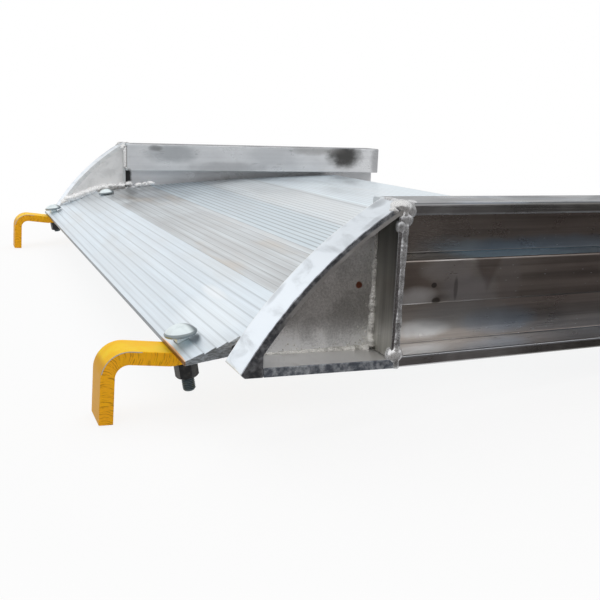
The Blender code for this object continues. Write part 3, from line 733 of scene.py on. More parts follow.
        # Painted highlight along the lips' edges.
        edge = side.smooth(587.5, 588.2) * z.band(8.6, 10.4, 0.5).most(z.band(129.6, 131.4, 0.5))
        colour = graph.mix(edge * 0.7, colour, self.lip_edge)
        # Painted dark reflection on the top, with painted bluish highlights.
        painted_top_reflection = graph.mix(x.smooth(50.0, 120.0), self.top_near, self.top_far)
        shine = graph.noise((0.012, 0.05, 0.05)).smooth(0.5, 0.64)
        colour = graph.mix(top, colour, graph.mix(shine * 0.55, painted_top_reflection, self.top_shine))

        pocket = side.fall(565.2, 566.2) * z.band(50.8, 85.8, 0.6)
        inner = side.fall(535.2, 536.2).most(pocket) * z.fall(139.0, 139.6)
        inner_colour = graph.mix(tone.smooth(0.36, 0.68), self.inner_light, self.inner_dark)
        # Painted shade in the pocket, deepening along the walk, with a little painted light near the hook
        # end.
        inner_colour = graph.shade(inner_colour, 1.0 + pocket * x.smooth(20.0, 260.0, 0.08, -0.2))
        inner_colour = graph.patched(inner_colour, self.inner_patches(), ragged)
        colour = graph.mix(inner, colour, inner_colour)
        end = x.fall(0.2, 0.5).most(x.smooth(593.4, 593.8))
        end = end.most(x.fall(3.0, 9.0) * side.fall(549.0, 552.0) * top)
        colour = graph.mix(end, colour, self.cut_end)

        roughness = cloud.vary(0.26, 0.4) + (draw - 0.5) * 0.1
        metallic = 1.0 - inner.most(end) * (1.0 - self.inner_metal)
        metallic = metallic - ledge * 0.5 - top * (1.0 - end) * 0.45
        normal = graph.bump(draw * 0.7 + cloud * 0.3, 0.3, 0.7)
        return graph.close(colour, roughness, normal, metallic, self.gloss)


@dataclass(frozen=True)
class PlateFinish:
    """Ground aluminium plate of a rail end: smudged on its broad face, gritty on its cut edges."""

    name: str
    light: Colour = (0.86, 0.92, 0.98)
    dark: Colour = (0.6, 0.64, 0.68)
    grit: Colour = (0.17, 0.18, 0.20)
    grit_light: Colour = (0.62, 0.65, 0.69)
    burr: Colour = (0.72, 0.71, 0.69)
    burr_radius: float = 396.0
    edge_from: float = 590.8
    metallic: float = 1.0
    inside: float = 553.0
    inside_colour: Colour = (0.95, 0.96, 0.96)
    inside_metal: float = 0.3
    top_shade: float = 0.82
    patches: Tuple[Patch, ...] = ()

    def build(self) -> Material:
        """Build the plate's material.

        Returns:
            The material.
        """
        graph = Surface(self.name)
        x, side, z = graph.x, graph.side, graph.z
        cloud = graph.noise((0.06, 0.02, 0.06), detail=5.0, roughness=0.6, distortion=0.5)
        fine = graph.noise(0.2, detail=5.0, roughness=0.6)
        grains = graph.cells(0.4)
        ragged = graph.noise(0.12, detail=4.0)
        edge = (side + (ragged - 0.5) * 2.4).smooth(self.edge_from - 0.6, self.edge_from + 0.3)
        colour = graph.mix(cloud.smooth(0.48, 0.78) * 0.9, self.light, self.dark)
        colour = graph.shade(colour, z.smooth(60.0, 125.0, 1.0, self.top_shade))
        colour = graph.patched(colour, self.patches, ragged)
        colour = graph.mix(edge, colour, graph.mix(fine.smooth(0.35, 0.8), self.grit, self.grit_light))
        spread = (x - CAP_CENTRE[0]).squared() + (z - CAP_CENTRE[1]).squared()
        burr = spread.fall((self.burr_radius - 0.6) ** 2, (self.burr_radius + 0.9) ** 2)
        colour = graph.mix(burr * edge * z.smooth(36.0, 60.0) * 0.85, colour, self.burr)
        sparkle = grains.fall(0.08, 0.18) * cloud.smooth(0.5, 0.6)
        colour = graph.mix(sparkle * edge * 0.7, colour, grey(0.95))
        inner = side.fall(self.inside - 0.6, self.inside)
        plate = graph.mix(cloud.smooth(0.4, 0.7) * 0.5, self.inside_colour, self.dark)
        colour = graph.mix(inner, colour, plate)
        metallic = self.metallic - inner * (self.metallic - self.inside_metal)
        normal = graph.bump(fine * (0.2 + edge * 0.5) + grains * edge * 0.1, 0.6, 0.8)
        return graph.close(colour, cloud.vary(0.3, 0.4) + edge * 0.12, normal, metallic)


def cap_finish() -> PlateFinish:
    """Return the finish of the caps, with handling smudges and a dusty tip."""
    return PlateFinish("ground_cap_plate", patches=(
        Patch((-55.0, 553.0, 116.0), (7.0, 10.0, 9.0), (0.22, 0.235, 0.25), 0.7),
        Patch((-88.0, 584.0, 88.0), (4.0, 4.0, 5.0), (0.22, 0.235, 0.25), 0.5),
        Patch((-33.0, 586.0, 126.0), (16.0, 5.0, 8.0), (0.4, 0.42, 0.45), 0.6),
        Patch((-100.0, 556.0, 66.0), (10.0, 5.0, 14.0), (0.42, 0.44, 0.47), 0.5),
        Patch((-12.0, 558.0, 138.0), (10.0, 10.0, 6.0), (0.26, 0.28, 0.3), 0.6),
        Patch((-139.0, 566.0, 4.0), (5.0, 30.0, 4.0), (0.62, 0.58, 0.44), 0.5)))


@dataclass(frozen=True)
class WebFinish:
    """Sand rough plate of the webs: painted glints, painted light along the foot and top, a speck of rust.
    """

    name: str = "sand_rough_web_plate"
    low: Colour = (1.0, 1.0, 1.0)
    middle: Colour = (0.56, 0.545, 0.53)
    high: Colour = (0.95, 0.95, 0.95)
    outside_metal: float = 0.88
    inside_light: Colour = (1.0, 1.0, 1.0)
    inside_dark: Colour = (0.84, 0.84, 0.84)
    inside_metal: float = 0.15
    rust: Patch = Patch((-21.3, 556.0, 66.1), (2.9, 3.0, 3.2), (0.2, 0.045, 0.012), 0.95, 0.4)

    def build(self) -> Material:
        """Build the web's material.

        Returns:
            The material.
        """
        graph = Surface(self.name)
        z = graph.z
        cloud = graph.noise(0.04, detail=4.0, distortion=0.5)
        fine = graph.noise(0.5, detail=4.0, roughness=0.75)
        grains = graph.cells(0.3)
        # Painted light: lighter along the foot and towards the top.
        colour = graph.mix(z.smooth(14.0, 44.0), self.low, self.middle)
        colour = graph.mix(z.smooth(60.0, 110.0), colour, self.high)
        colour = graph.shade(colour, fine.vary(0.8, 1.18) * cloud.vary(0.82, 1.18))
        # Painted glints on the grit, crowded near the upright and the foot.
        corner = graph.x.smooth(-26.0, -12.0).most(z.fall(15.0, 26.0))
        speck = grains.fall(0.07, 0.16) * (cloud.smooth(0.5, 0.6) * 0.6).most(corner)
        colour = graph.mix(speck * 0.85, colour, (1.0, 0.99, 0.96))
        colour = graph.patched(colour, (self.rust,), graph.noise(0.2))
        inner = graph.side.fall(552.4, 553.0)
        plate = graph.mix(cloud.smooth(0.4, 0.66), self.inside_light, self.inside_dark)
        colour = graph.mix(inner, colour, plate)
        metallic = self.outside_metal - inner * (self.outside_metal - self.inside_metal)
        normal = graph.bump((fine * 0.6 + grains * 0.3) * (1.0 - inner * 0.8), 0.9, 0.8)
        return graph.close(colour, fine.vary(0.34, 0.46), normal, metallic)


@dataclass(frozen=True)
class UprightFinish:
    """Drawn plate of the uprights: olive grey, a painted dark reflection towards the top, a dull end edge.
    """

    name: str = "drawn_upright_plate"
    low: Colour = (0.56, 0.555, 0.52)
    high: Colour = (0.2, 0.2, 0.185)
    inside: Colour = (0.85, 0.86, 0.86)
    edge_dark: Colour = (0.34, 0.34, 0.35)
    edge_light: Colour = (0.6, 0.6, 0.61)

    def build(self) -> Material:
        """Build the upright's material.

        Returns:
            The material.
        """
        graph = Surface(self.name)
        streak = graph.noise((0.3, 0.16, 0.006), detail=4.0)
        fine = graph.noise(0.8)
        # Painted dark reflection, deepening towards the top.
        colour = graph.mix(graph.z.smooth(30.0, 120.0), self.low, self.high)
        colour = graph.shade(colour, streak.vary(0.8, 1.2))
        cut = graph.mix(fine.smooth(0.4, 0.7), self.edge_dark, self.edge_light)
        colour = graph.mix(graph.side.smooth(590.2, 590.9), colour, cut)
        colour = graph.mix(graph.side.fall(552.6, 553.4), colour, self.inside)
        normal = graph.bump(fine * 0.4 + streak * 0.6, 0.4, 0.7)
        return graph.close(colour, streak.vary(0.3, 0.4), normal)


@dataclass(frozen=True)
class WeldFinish:
    """Weld metal: bright, rippled and a little sooty in patches."""

    name: str
    bright: Colour = (0.9, 0.9, 0.9)
    soot: Colour = (0.42, 0.42, 0.43)
    sooted: float = 0.6
    grain: float = 0.5
    rough: Tuple[float, float] = (0.16, 0.32)
    metallic: float = 1.0
    patches: Tuple[Patch, ...] = ()

    def build(self) -> Material:
        """Build the weld metal's material.

        Returns:
            The material.
        """
        graph = Surface(self.name)
        cloud = graph.noise(0.12, detail=4.0, distortion=0.8)
        fine = graph.noise(0.7, roughness=0.7)
        colour = graph.mix(cloud.smooth(0.4, 0.66) * self.sooted, self.bright, self.soot)
        colour = graph.patched(colour, self.patches, cloud)
        normal = graph.bump(fine, self.grain, 0.8)
        return graph.close(colour, fine.vary(*self.rough), normal, self.metallic)


@dataclass(frozen=True)
class PaintFinish:
    """Safety yellow over flame-cut bar: cut faces drag-lined, a worn edge bare, the leg in painted shade.
    """

    name: str = "safety_yellow_paint"
    yellow: Colour = (1.0, 0.56, 0.006)
    sunlit: Colour = (1.0, 0.66, 0.02)
    cut_face: Colour = (1.0, 0.47, 0.02)
    leg_face: Colour = (0.72, 0.33, 0.004)
    line: Colour = (0.24, 0.075, 0.01)
    bare: Colour = (0.5, 0.47, 0.42)
    leg_x: Tuple[float, float] = (-227.0, -223.0)
    worn: Tuple[float, float] = (47.0, 80.0)
    rim: float = BAR_THICKNESS / 2.0 - 0.5

    def build(self) -> Material:
        """Build the paint, which follows the bar's UV map and the mask of its cut faces.

        Returns:
            The material.
        """
        graph = Surface(self.name)
        along, across, _ = graph.axes(graph.add("ShaderNodeUVMap", {"uv_map": "bar"}).outputs[0])
        cut = graph.signal(graph.add("ShaderNodeAttribute", {"attribute_name": "cut"}), "Fac")
        cloud = graph.noise(0.05)
        fine = graph.noise(0.6, roughness=0.6)
        bent = along + across.squared() * 0.035 - across * 0.1 + cloud * 4.0
        flat = graph.add("ShaderNodeCombineXYZ", values={0: bent, 1: across}).outputs[0]
        drag = graph.noise((0.95, 0.05, 0.0), roughness=0.6, vector=flat)
        depth = graph.noise((0.07, 0.12, 0.0), detail=2.0, vector=flat)
        lines = drag.smooth(0.52, 0.6) * drag.smooth(0.62, 0.72, 1.0, 0.4) * cut
        lines = lines * depth.smooth(0.3, 0.6, 0.25, 1.0)
        colour = graph.mix(cloud.smooth(0.35, 0.7), self.yellow, self.sunlit)
        sawn = graph.mix(cloud.smooth(0.4, 0.7) * 0.5, self.cut_face, self.yellow)
        colour = graph.mix(lines * 0.65, graph.mix(cut, colour, sawn), self.line)
        # Painted shade on the leg's outer face.
        leg = graph.x.fall(*self.leg_x) * (1.0 - cut)
        colour = graph.mix(leg * 0.85, colour, self.leg_face)
        worn = across.smooth(self.rim - 1.0, self.rim) * along.band(*self.worn, 4.0) * cut
        chips = (worn + (fine - 0.5) * 0.7).smooth(0.5, 0.66)
        colour = graph.mix(chips, colour, self.bare)
        roughness = 0.4 + (fine - 0.5) * 0.2 + chips * 0.15
        normal = graph.bump(drag * cut + fine * 0.1 - chips * 0.3, 0.9, 0.9)
        return graph.close(colour, roughness, normal, chips * 0.6, 0.05)


@dataclass(frozen=True)
class ZincFinish:
    """Bright zinc plate of one bolt: a clear head with a painted dark reflection and rim shade, a dark
    thread.
    """

    name: str
    centre: Tuple[float, float]
    bright: Colour = (0.82, 0.90, 0.92)
    dull: Colour = (0.64, 0.71, 0.73)
    rim: Colour = (0.14, 0.17, 0.185)
    thread: Colour = (0.11, 0.14, 0.155)
    lee: Tuple[float, float] = (0.9, 0.45)
    lee_reach: Tuple[float, float] = (-1.0, 7.5)
    thread_top: float = -13.0
    rim_radius: float = 14.2
    metallic: float = 0.6

    def build(self) -> Material:
        """Build the plate of one bolt.

        Returns:
            The material.
        """
        graph = Surface(self.name)
        across, along = graph.x - self.centre[0], graph.y - self.centre[1]
        cloud = graph.noise(0.08, distortion=0.4)
        fine = graph.noise(1.5, detail=2.0)
        colour = graph.mix(cloud.smooth(0.5, 0.72) * 0.6, self.bright, self.dull)
        # Painted dark reflection on one side of the head.
        lee = (across * self.lee[0] + along * self.lee[1]).smooth(*self.lee_reach)
        colour = graph.mix(lee, colour, self.rim)
        # Painted shade round the rim of the head.
        spread = across.squared() + along.squared()
        rim = spread.smooth((self.rim_radius - 0.5) ** 2, self.rim_radius ** 2)
        colour = graph.mix(rim * 0.8, colour, self.rim)
        colour = graph.mix(graph.z.fall(self.thread_top - 1.0, self.thread_top), colour, self.thread)
        return graph.close(colour, fine.vary(0.34, 0.4), graph.bump(fine, 0.04, 0.4), self.metallic)


@dataclass(frozen=True)
class OxideFinish:
    """Black oxide of the nuts, rubbed grey in places."""

    name: str = "black_oxide_skin"
    black: Colour = (0.008, 0.008, 0.009)
    rubbed: Colour = (0.035, 0.035, 0.036)

    def build(self) -> Material:
        """Build the oxide.

        Returns:
            The material.
        """
        graph = Surface(self.name)
        fine = graph.noise(1.2, detail=2.0)
        colour = graph.mix(graph.noise(0.15).smooth(0.45, 0.65), self.black, self.rubbed)
        return graph.close(colour, fine.vary(0.35, 0.5), graph.bump(fine, 0.1, 0.5), 0.3, 0.4)


# Sub-assemblies


@dataclass
class Rails:
    """The two channel side rails."""

    edge: float = 0.35
    finish: RailFinish = field(default_factory=RailFinish)

    def build(self) -> None:
        """Build both rails."""
        material = self.finish.build()
        for side in Side:
            node = f"{side.word}_side_rail"
            work = Work(f"{side.word}_rail_channel", node).bevel(self.edge, angle=60.0)
            work.finish(material, "mill_aluminium_rail", [node], smooth=38.0)


@dataclass
class RailEnds:
    """The tapered rail ends: a curved cap, a foot, an upright and a web on each side."""

    edge: float = 0.7

    def build(self) -> None:
        """Build the plates of both ends."""
        foot = PlateFinish("ground_foot_plate", light=(0.82, 0.81, 0.80), dark=(0.6, 0.58, 0.56),
                           grit=(0.12, 0.135, 0.165), metallic=0.55)
        finishes = {"cap": cap_finish(), "foot": foot, "upright": UprightFinish(), "web": WebFinish()}
        materials = {plate: finish.build() for plate, finish in finishes.items()}
        for side in Side:
            for plate, material in materials.items():
                node = f"{side.word}_end_{plate}"
                work = Work(f"{node}_plate", node).bevel(self.edge)
                work.finish(material, "ground_aluminium_end", [node])


@dataclass
class Deck:
    """The nose plank, the deck planks and the plank that goes down to the ground."""

    plank_pitch: float = 108.0
    rib_pitch: float = 11.93
    first_edge: float = -61.75
    count: int = 5

    def build(self) -> None:
        """Dress the planks."""
        # The planks' blue tints are a painted sky reflection over the metal's grey.
        nose = PlankFinish(
            "nose_plank_metal", first_edge=-148.6, pitch=10.7, light=(0.79, 0.87, 0.935),
            dark=(0.68, 0.745, 0.80), edge_width=2.2, edge_shade=0.25, last_edge=-73.0,
            # Two painted highlights, a darker patch, and a painted reflection of the yellow hook on the
            # lip's front face.
            patches=(Patch((-118.0, -440.0, 16.0), (26.0, 60.0, 30.0), (0.90, 0.96, 1.0), 0.5),
                     Patch((-96.0, -380.0, 25.0), (6.0, 34.0, 20.0), (0.96, 0.98, 1.0), 0.5),
                     Patch((-80.0, 420.0, 30.0), (30.0, 160.0, 30.0), (0.64, 0.665, 0.68), 0.5),
                     Patch((-166.0, -486.0, -2.0), (2.0, 44.0, 9.0), (0.9, 0.42, 0.1), 0.85, 0.4)))
        first = PlankFinish(
            "first_plank_metal", first_edge=self.first_edge, pitch=self.rib_pitch,
            light=(0.70, 0.745, 0.775), dark=(0.47, 0.485, 0.495), edge_width=1.7, edge_shade=0.38,
            warm=(0.6, 0.52, 0.43), warmth=0.45,
            patches=(Patch((32.0, -480.0, 51.0), (14.0, 120.0, 30.0), (0.42, 0.34, 0.27), 0.6),
                     Patch((-20.0, -490.0, 46.0), (34.0, 110.0, 30.0), (0.42, 0.43, 0.44), 0.5)))
        rest = PlankFinish(
            "upper_plank_metal", first_edge=self.first_edge, pitch=self.rib_pitch,
            light=(0.80, 0.885, 0.94), dark=(0.70, 0.77, 0.82), edge_width=3.6, edge_shade=0.46,
            wrap=self.plank_pitch,
            patches=(Patch((100.0, None, None), (56.0, 1.0, 1.0), (0.58, 0.665, 0.72), 0.75, 0.3),
                     Patch((155.0, None, None), (7.0, 1.0, 1.0), (0.62, 0.66, 0.69), 0.6),
                     Patch((215.0, None, None), (50.0, 1.0, 1.0), (0.70, 0.725, 0.735), 0.6),
                     Patch((262.0, None, None), (7.0, 1.0, 1.0), (0.5, 0.52, 0.54), 0.6),
                     Patch((238.0, -230.0, 68.0), (8.0, 22.0, 20.0), (0.46, 0.47, 0.48), 0.4)))
        ground = PlankFinish(
            "ground_plank_metal", first_edge=0.0, pitch=7.0, light=(0.60, 0.66, 0.70),
            dark=(0.46, 0.5, 0.53), edge_width=1.2, edge_shade=0.2)
        self._plank("nose_plank", "nose_extrusion", nose.build(), 0.4)
        self._plank("ground_plank", "ground_extrusion", ground.build(), 0.3)
        materials = [first.build()] + [rest.build()] * (self.count - 1)
        for index, material in enumerate(materials, 1):
            self._plank(f"deck_plank_{index}", f"deck_extrusion_{index}", material, 0.12)

    @staticmethod
    def _plank(node: str, name: str, material: Material, edge: float) -> None:
        """Dress one plank."""
        work = Work(name, node).bevel(edge, angle=25.0, segments=1)
        work.finish(material, "ribbed_aluminium_deck", [node], smooth=18.0)


@dataclass(frozen=True)
class Bend:
    """One bend of a hook's centre line: where it starts and ends, and what it turns about."""

    start: Vector
    end: Vector
    pivot: Vector
    axis: Vector
    angle: float
    steps: int


@dataclass
class Hooks:
    """The two bent flat bars that hang the ramp on a sill, a hair thinner than the CAD's bar."""

    thickness: float = BAR_THICKNESS - 0.02
    width: float = 40.0
    extra: float = 30.0
    rounding: float = 1.1
    tail: Tuple[float, float] = (-32.19, 5.93)
    kink: Tuple[float, float] = (-165.69, -10.46)
    corner: Tuple[float, float] = (-222.04, -3.34)
    foot: Tuple[float, float] = (-225.17, -65.06)
    step_x: float = -112.0
    bend_radius: float = 18.3
    bend_steps: int = 14
    kink_radius: float = 24.0
    kink_steps: int = 5
    arc_points: int = 24
    flank: float = 0.7
    finish: PaintFinish = field(default_factory=PaintFinish)

    def build(self) -> None:
        """Build both hooks."""
        material = self.finish.build()
        for side, centre in HOOK_CENTRES.items():
            work = Work(f"{side.word}_hook_bar")
            corners = [Vector((x, centre, z)) for x, z in (self.foot, self.corner, self.kink, self.tail)]
            bends = self._bends(*corners)
            self._sweep(work, corners, bends)
            self._widen_tail(work, centre)
            self._map(work, self._centre_line(corners, bends))
            work.finish(material, "yellow_paint", [f"{side.word}_hook"], smooth=32.0)

    def _bends(self, foot: Vector, corner: Vector, kink: Vector, tail: Vector) -> List[Bend]:
        """Work out the two bends of the centre line.

        Args:
            foot: the end of the leg.
            corner: where leg and arm would meet.
            kink: where arm and tail would meet.
            tail: the end of the tail.

        Returns:
            The bends, from the leg back.
        """
        bends, here = [], foot
        for bend, after, radius, steps in ((corner, kink, self.bend_radius, self.bend_steps),
                                           (kink, tail, self.kink_radius, self.kink_steps)):
            come, leave = (bend - here).normalized(), (after - bend).normalized()
            angle = come.angle(leave)
            reach = radius * math.tan(angle / 2.0)
            start, here = bend - come * reach, bend + leave * reach
            axis = come.cross(leave).normalized()
            bends.append(Bend(start, here, start + axis.cross(come) * radius, axis, angle, steps))
        return bends

    def _sweep(self, work: Work, corners: Sequence[Vector], bends: Sequence[Bend]) -> None:
        """Sweep the bar from the foot of its leg to the end of its tail.

        Args:
            work: the mesh to sweep in.
            corners: the centre line's corners.
            bends: its bends.
        """
        here, tail = corners[0], corners[-1]
        way = (corners[1] - here).normalized()
        across = Vector((0.0, 1.0, 0.0))
        start = Matrix((way.cross(across), across, way)).transposed().to_4x4()
        start.translation = here
        work.start_bar(start, self.thickness, self.width, self.rounding)
        for bend in bends:
            work.extend(bend.start - here)
            work.turn(bend.pivot, bend.axis, bend.angle, bend.steps)
            here = bend.end
        step = here.lerp(tail, (self.step_x - here.x) / (tail.x - here.x))
        work.extend(step - here)
        work.extend(tail - step)
        work.close_ends()

    def _widen_tail(self, work: Work, centre: float) -> None:
        """Draw the hidden tail out on one side to take the second bolt.

        Args:
            work: the bar's mesh.
            centre: the bar's place across the ramp.
        """
        flank_y = centre - self.width / 2.0 + 0.2
        flank = []
        for face in work.body.faces:
            middle = face.calc_center_median()
            outer = face.normal.y < -0.99 or middle.y < flank_y
            if outer and middle.x > self.step_x + 1.0 and abs(face.normal.x) < 0.9:
                flank.append(face)
        made = bmesh.ops.extrude_face_region(work.body, geom=flank)
        moved = [item for item in made["geom"] if isinstance(item, bmesh.types.BMVert)]
        bmesh.ops.translate(work.body, verts=moved, vec=(0.0, -self.extra, 0.0))

    def _map(self, work: Work, line: Sequence[Vector]) -> None:
        """Store the way along and across the bar, and its cut faces, on the mesh.

        Args:
            work: the bar's mesh.
            line: the points of its centre line.
        """
        uv = work.body.loops.layers.uv.new("bar")
        cut = work.body.faces.layers.float.new("cut")
        places = {vert: self._along(vert.co, line) for vert in work.body.verts}
        for face in work.body.faces:
            face.normal_update()
            face[cut] = float(abs(face.normal.y) > self.flank)
            for loop in face.loops:
                loop[uv].uv = places[loop.vert]

    def _centre_line(self, corners: Sequence[Vector], bends: Sequence[Bend]) -> List[Vector]:
        """Follow the bar's centre line.

        Args:
            corners: its corners.
            bends: its bends.

        Returns:
            Its points, from the foot of the leg.
        """
        points = [corners[0]]
        for bend in bends:
            for index in range(self.arc_points + 1):
                turn = Matrix.Rotation(bend.angle * index / self.arc_points, 3, bend.axis)
                points.append(bend.pivot + turn @ (bend.start - bend.pivot))
        return points + [corners[-1]]

    @staticmethod
    def _along(point: Vector, line: Sequence[Vector]) -> Tuple[float, float]:
        """Measure where a point lies beside a line.

        Args:
            point: the point.
            line: the line's points.

        Returns:
            How far along the line it lies, and how far it stands out above it.
        """
        best = (math.inf, 0.0, 0.0)
        travelled = 0.0
        flat = Vector((point.x, line[0].y, point.z))
        for first, second in zip(line, line[1:]):
            way = second - first
            share = min(max((flat - first).dot(way) / way.length_squared, 0.0), 1.0)
            offset = flat - (first + way * share)
            side = way.normalized().cross(Vector((0.0, 1.0, 0.0))).dot(offset)
            if offset.length < best[0]:
                best = (offset.length, travelled + way.length * share, math.copysign(offset.length, side))
            travelled += way.length
        return best[1], best[2]


@dataclass(frozen=True)
class BoltPlace:
    """One bolt's place: its foot on the nose's underside, its head's seat and its thread's end."""

    node: str
    x: float
    y: float
    base: float
    seat: float
    end: float

    @property
    def matrix(self) -> Matrix:
        """The bolt's frame, Z up its axis."""
        return Matrix.Translation((self.x, self.y, self.base)) @ Matrix.Rotation(-BOLT_LEAN, 4, "Y")


@dataclass
class Fasteners:
    """Carriage bolts with domed heads and helical threads, and their nuts."""

    diameter: float = 12.0
    head: float = 30.6
    head_height: float = 9.6
    rim: float = 2.0
    head_steps: int = 48
    dome_steps: int = 14
    neck: float = 12.0
    neck_length: float = 7.0
    neck_overlap: float = 0.4
    pitch: float = 1.75
    thread_steps: int = 32
    point_length: float = 1.3
    point_taper: float = 1.4
    thread: Tuple[Tuple[float, float], ...] = ((0.0, 0.0), (0.12, 0.0), (0.5, 1.05), (0.62, 1.05))
    nut_height: float = 15.2
    nut_half: float = 9.5
    nut_gap: float = 0.6
    lip: Tuple[float, float] = (-166.0, -3.8)
    front_threads: Dict[Side, float] = field(default_factory=lambda: {Side.RIGHT: 13.5, Side.LEFT: 4.0})

    def build(self) -> None:
        """Build the bolts and nuts."""
        oxide = OxideFinish().build()
        for place in self._places():
            crown = place.matrix @ Vector((0.0, 0.0, place.seat + self.rim))
            self._bolt(place, ZincFinish(f"{place.node}_zinc_plate", (crown.x, crown.y)).build())
            node = f"{place.node}_nut"
            work = Work(f"{place.node}_hex_nut", node).bevel(0.25, angle=45.0)
            work.finish(oxide, "black_oxide", [node], smooth=24.0)

    def _places(self) -> List[BoltPlace]:
        """Work out where the four bolts stand.

        Returns:
            Their places.
        """
        nut_end = -(BAR_THICKNESS + self.nut_gap + self.nut_half * math.tan(BOLT_LEAN - NOSE_UNDERSIDE)
                    + self.nut_height)
        places = []
        for side, centre in HOOK_CENTRES.items():
            for spot, x, offset, seat, thread in (("front", -153.2, -8.0, 11.9, self.front_threads[side]),
                                                  ("rear", -49.0, -34.0, 32.7, 5.0)):
                base = self.lip[1] + (x - self.lip[0]) * math.tan(NOSE_UNDERSIDE)
                places.append(BoltPlace(f"{side.word}_hook_{spot}", x, centre + offset, base, seat,
                                        nut_end - thread))
        return places

    def _bolt(self, place: BoltPlace, material: Material) -> None:
        """Build one bolt: a turned head, a square neck and a threaded shank.

        Args:
            place: where it stands.
            material: its plate.
        """
        work = Work(f"{place.node}_carriage_bolt")
        radius, seat = self.head / 2.0, place.seat
        rise = self.head_height - self.rim
        dome = (radius ** 2 + rise ** 2) / (2.0 * rise)
        angles = [math.asin(radius / dome) * step / self.dome_steps for step in range(self.dome_steps + 1)]
        profile = [(dome * math.sin(angle), seat + self.head_height - dome * (1.0 - math.cos(angle)))
                   for angle in angles]
        profile += [(radius - 0.1, seat + self.rim - 0.5), (radius - 0.3, seat + 0.6),
                    (radius - 0.9, seat), (0.0, seat)]
        work.lathe(profile, self.head_steps)
        bmesh.ops.remove_doubles(work.body, verts=work.body.verts, dist=1e-4)
        neck = Matrix.Translation((0.0, 0.0, seat + (self.neck_overlap - self.neck_length) / 2.0))
        made = bmesh.ops.create_cube(work.body, size=1.0, matrix=neck @ Matrix.Diagonal(
            (self.neck, self.neck, self.neck_length, 1.0)))
        work.bevel(0.5, edges=list({edge for vert in made["verts"] for edge in vert.link_edges}))
        self._shank(work, place)
        work.body.transform(place.matrix)
        work.finish(material, "zinc_plate", [f"{place.node}_bolt"], smooth=30.0, weighted=False)

    def _shank(self, work: Work, place: BoltPlace) -> None:
        """Add the shank, whose thread is a zigzag carried round on a helix.

        Args:
            work: the bolt's mesh.
            place: where the bolt stands.
        """
        turns = int((place.seat - self.neck_length - place.end) / self.pitch)
        start = place.end + (turns + 1) * self.pitch
        outer = self.diameter / 2.0
        before = set(work.body.verts)
        work.lathe([(outer - depth, start - (turn + share) * self.pitch)
                    for turn in range(turns + 1) for share, depth in self.thread],
                   self.thread_steps, fall=self.pitch)
        bmesh.ops.remove_doubles(work.body, verts=[vert for vert in work.body.verts if vert not in before],
                                 dist=MERGE)
        for vert in work.body.verts:
            if vert in before:
                continue
            vert.co.z = max(vert.co.z, place.end)
            taper = min(max((vert.co.z - place.end) / self.point_length, 0.0), 1.0)
            limit = outer - self.point_taper * (1.0 - taper)
            reach = math.hypot(vert.co.x, vert.co.y)
            if reach > limit:
                vert.co.x *= limit / reach
                vert.co.y *= limit / reach
        work.close_ends()


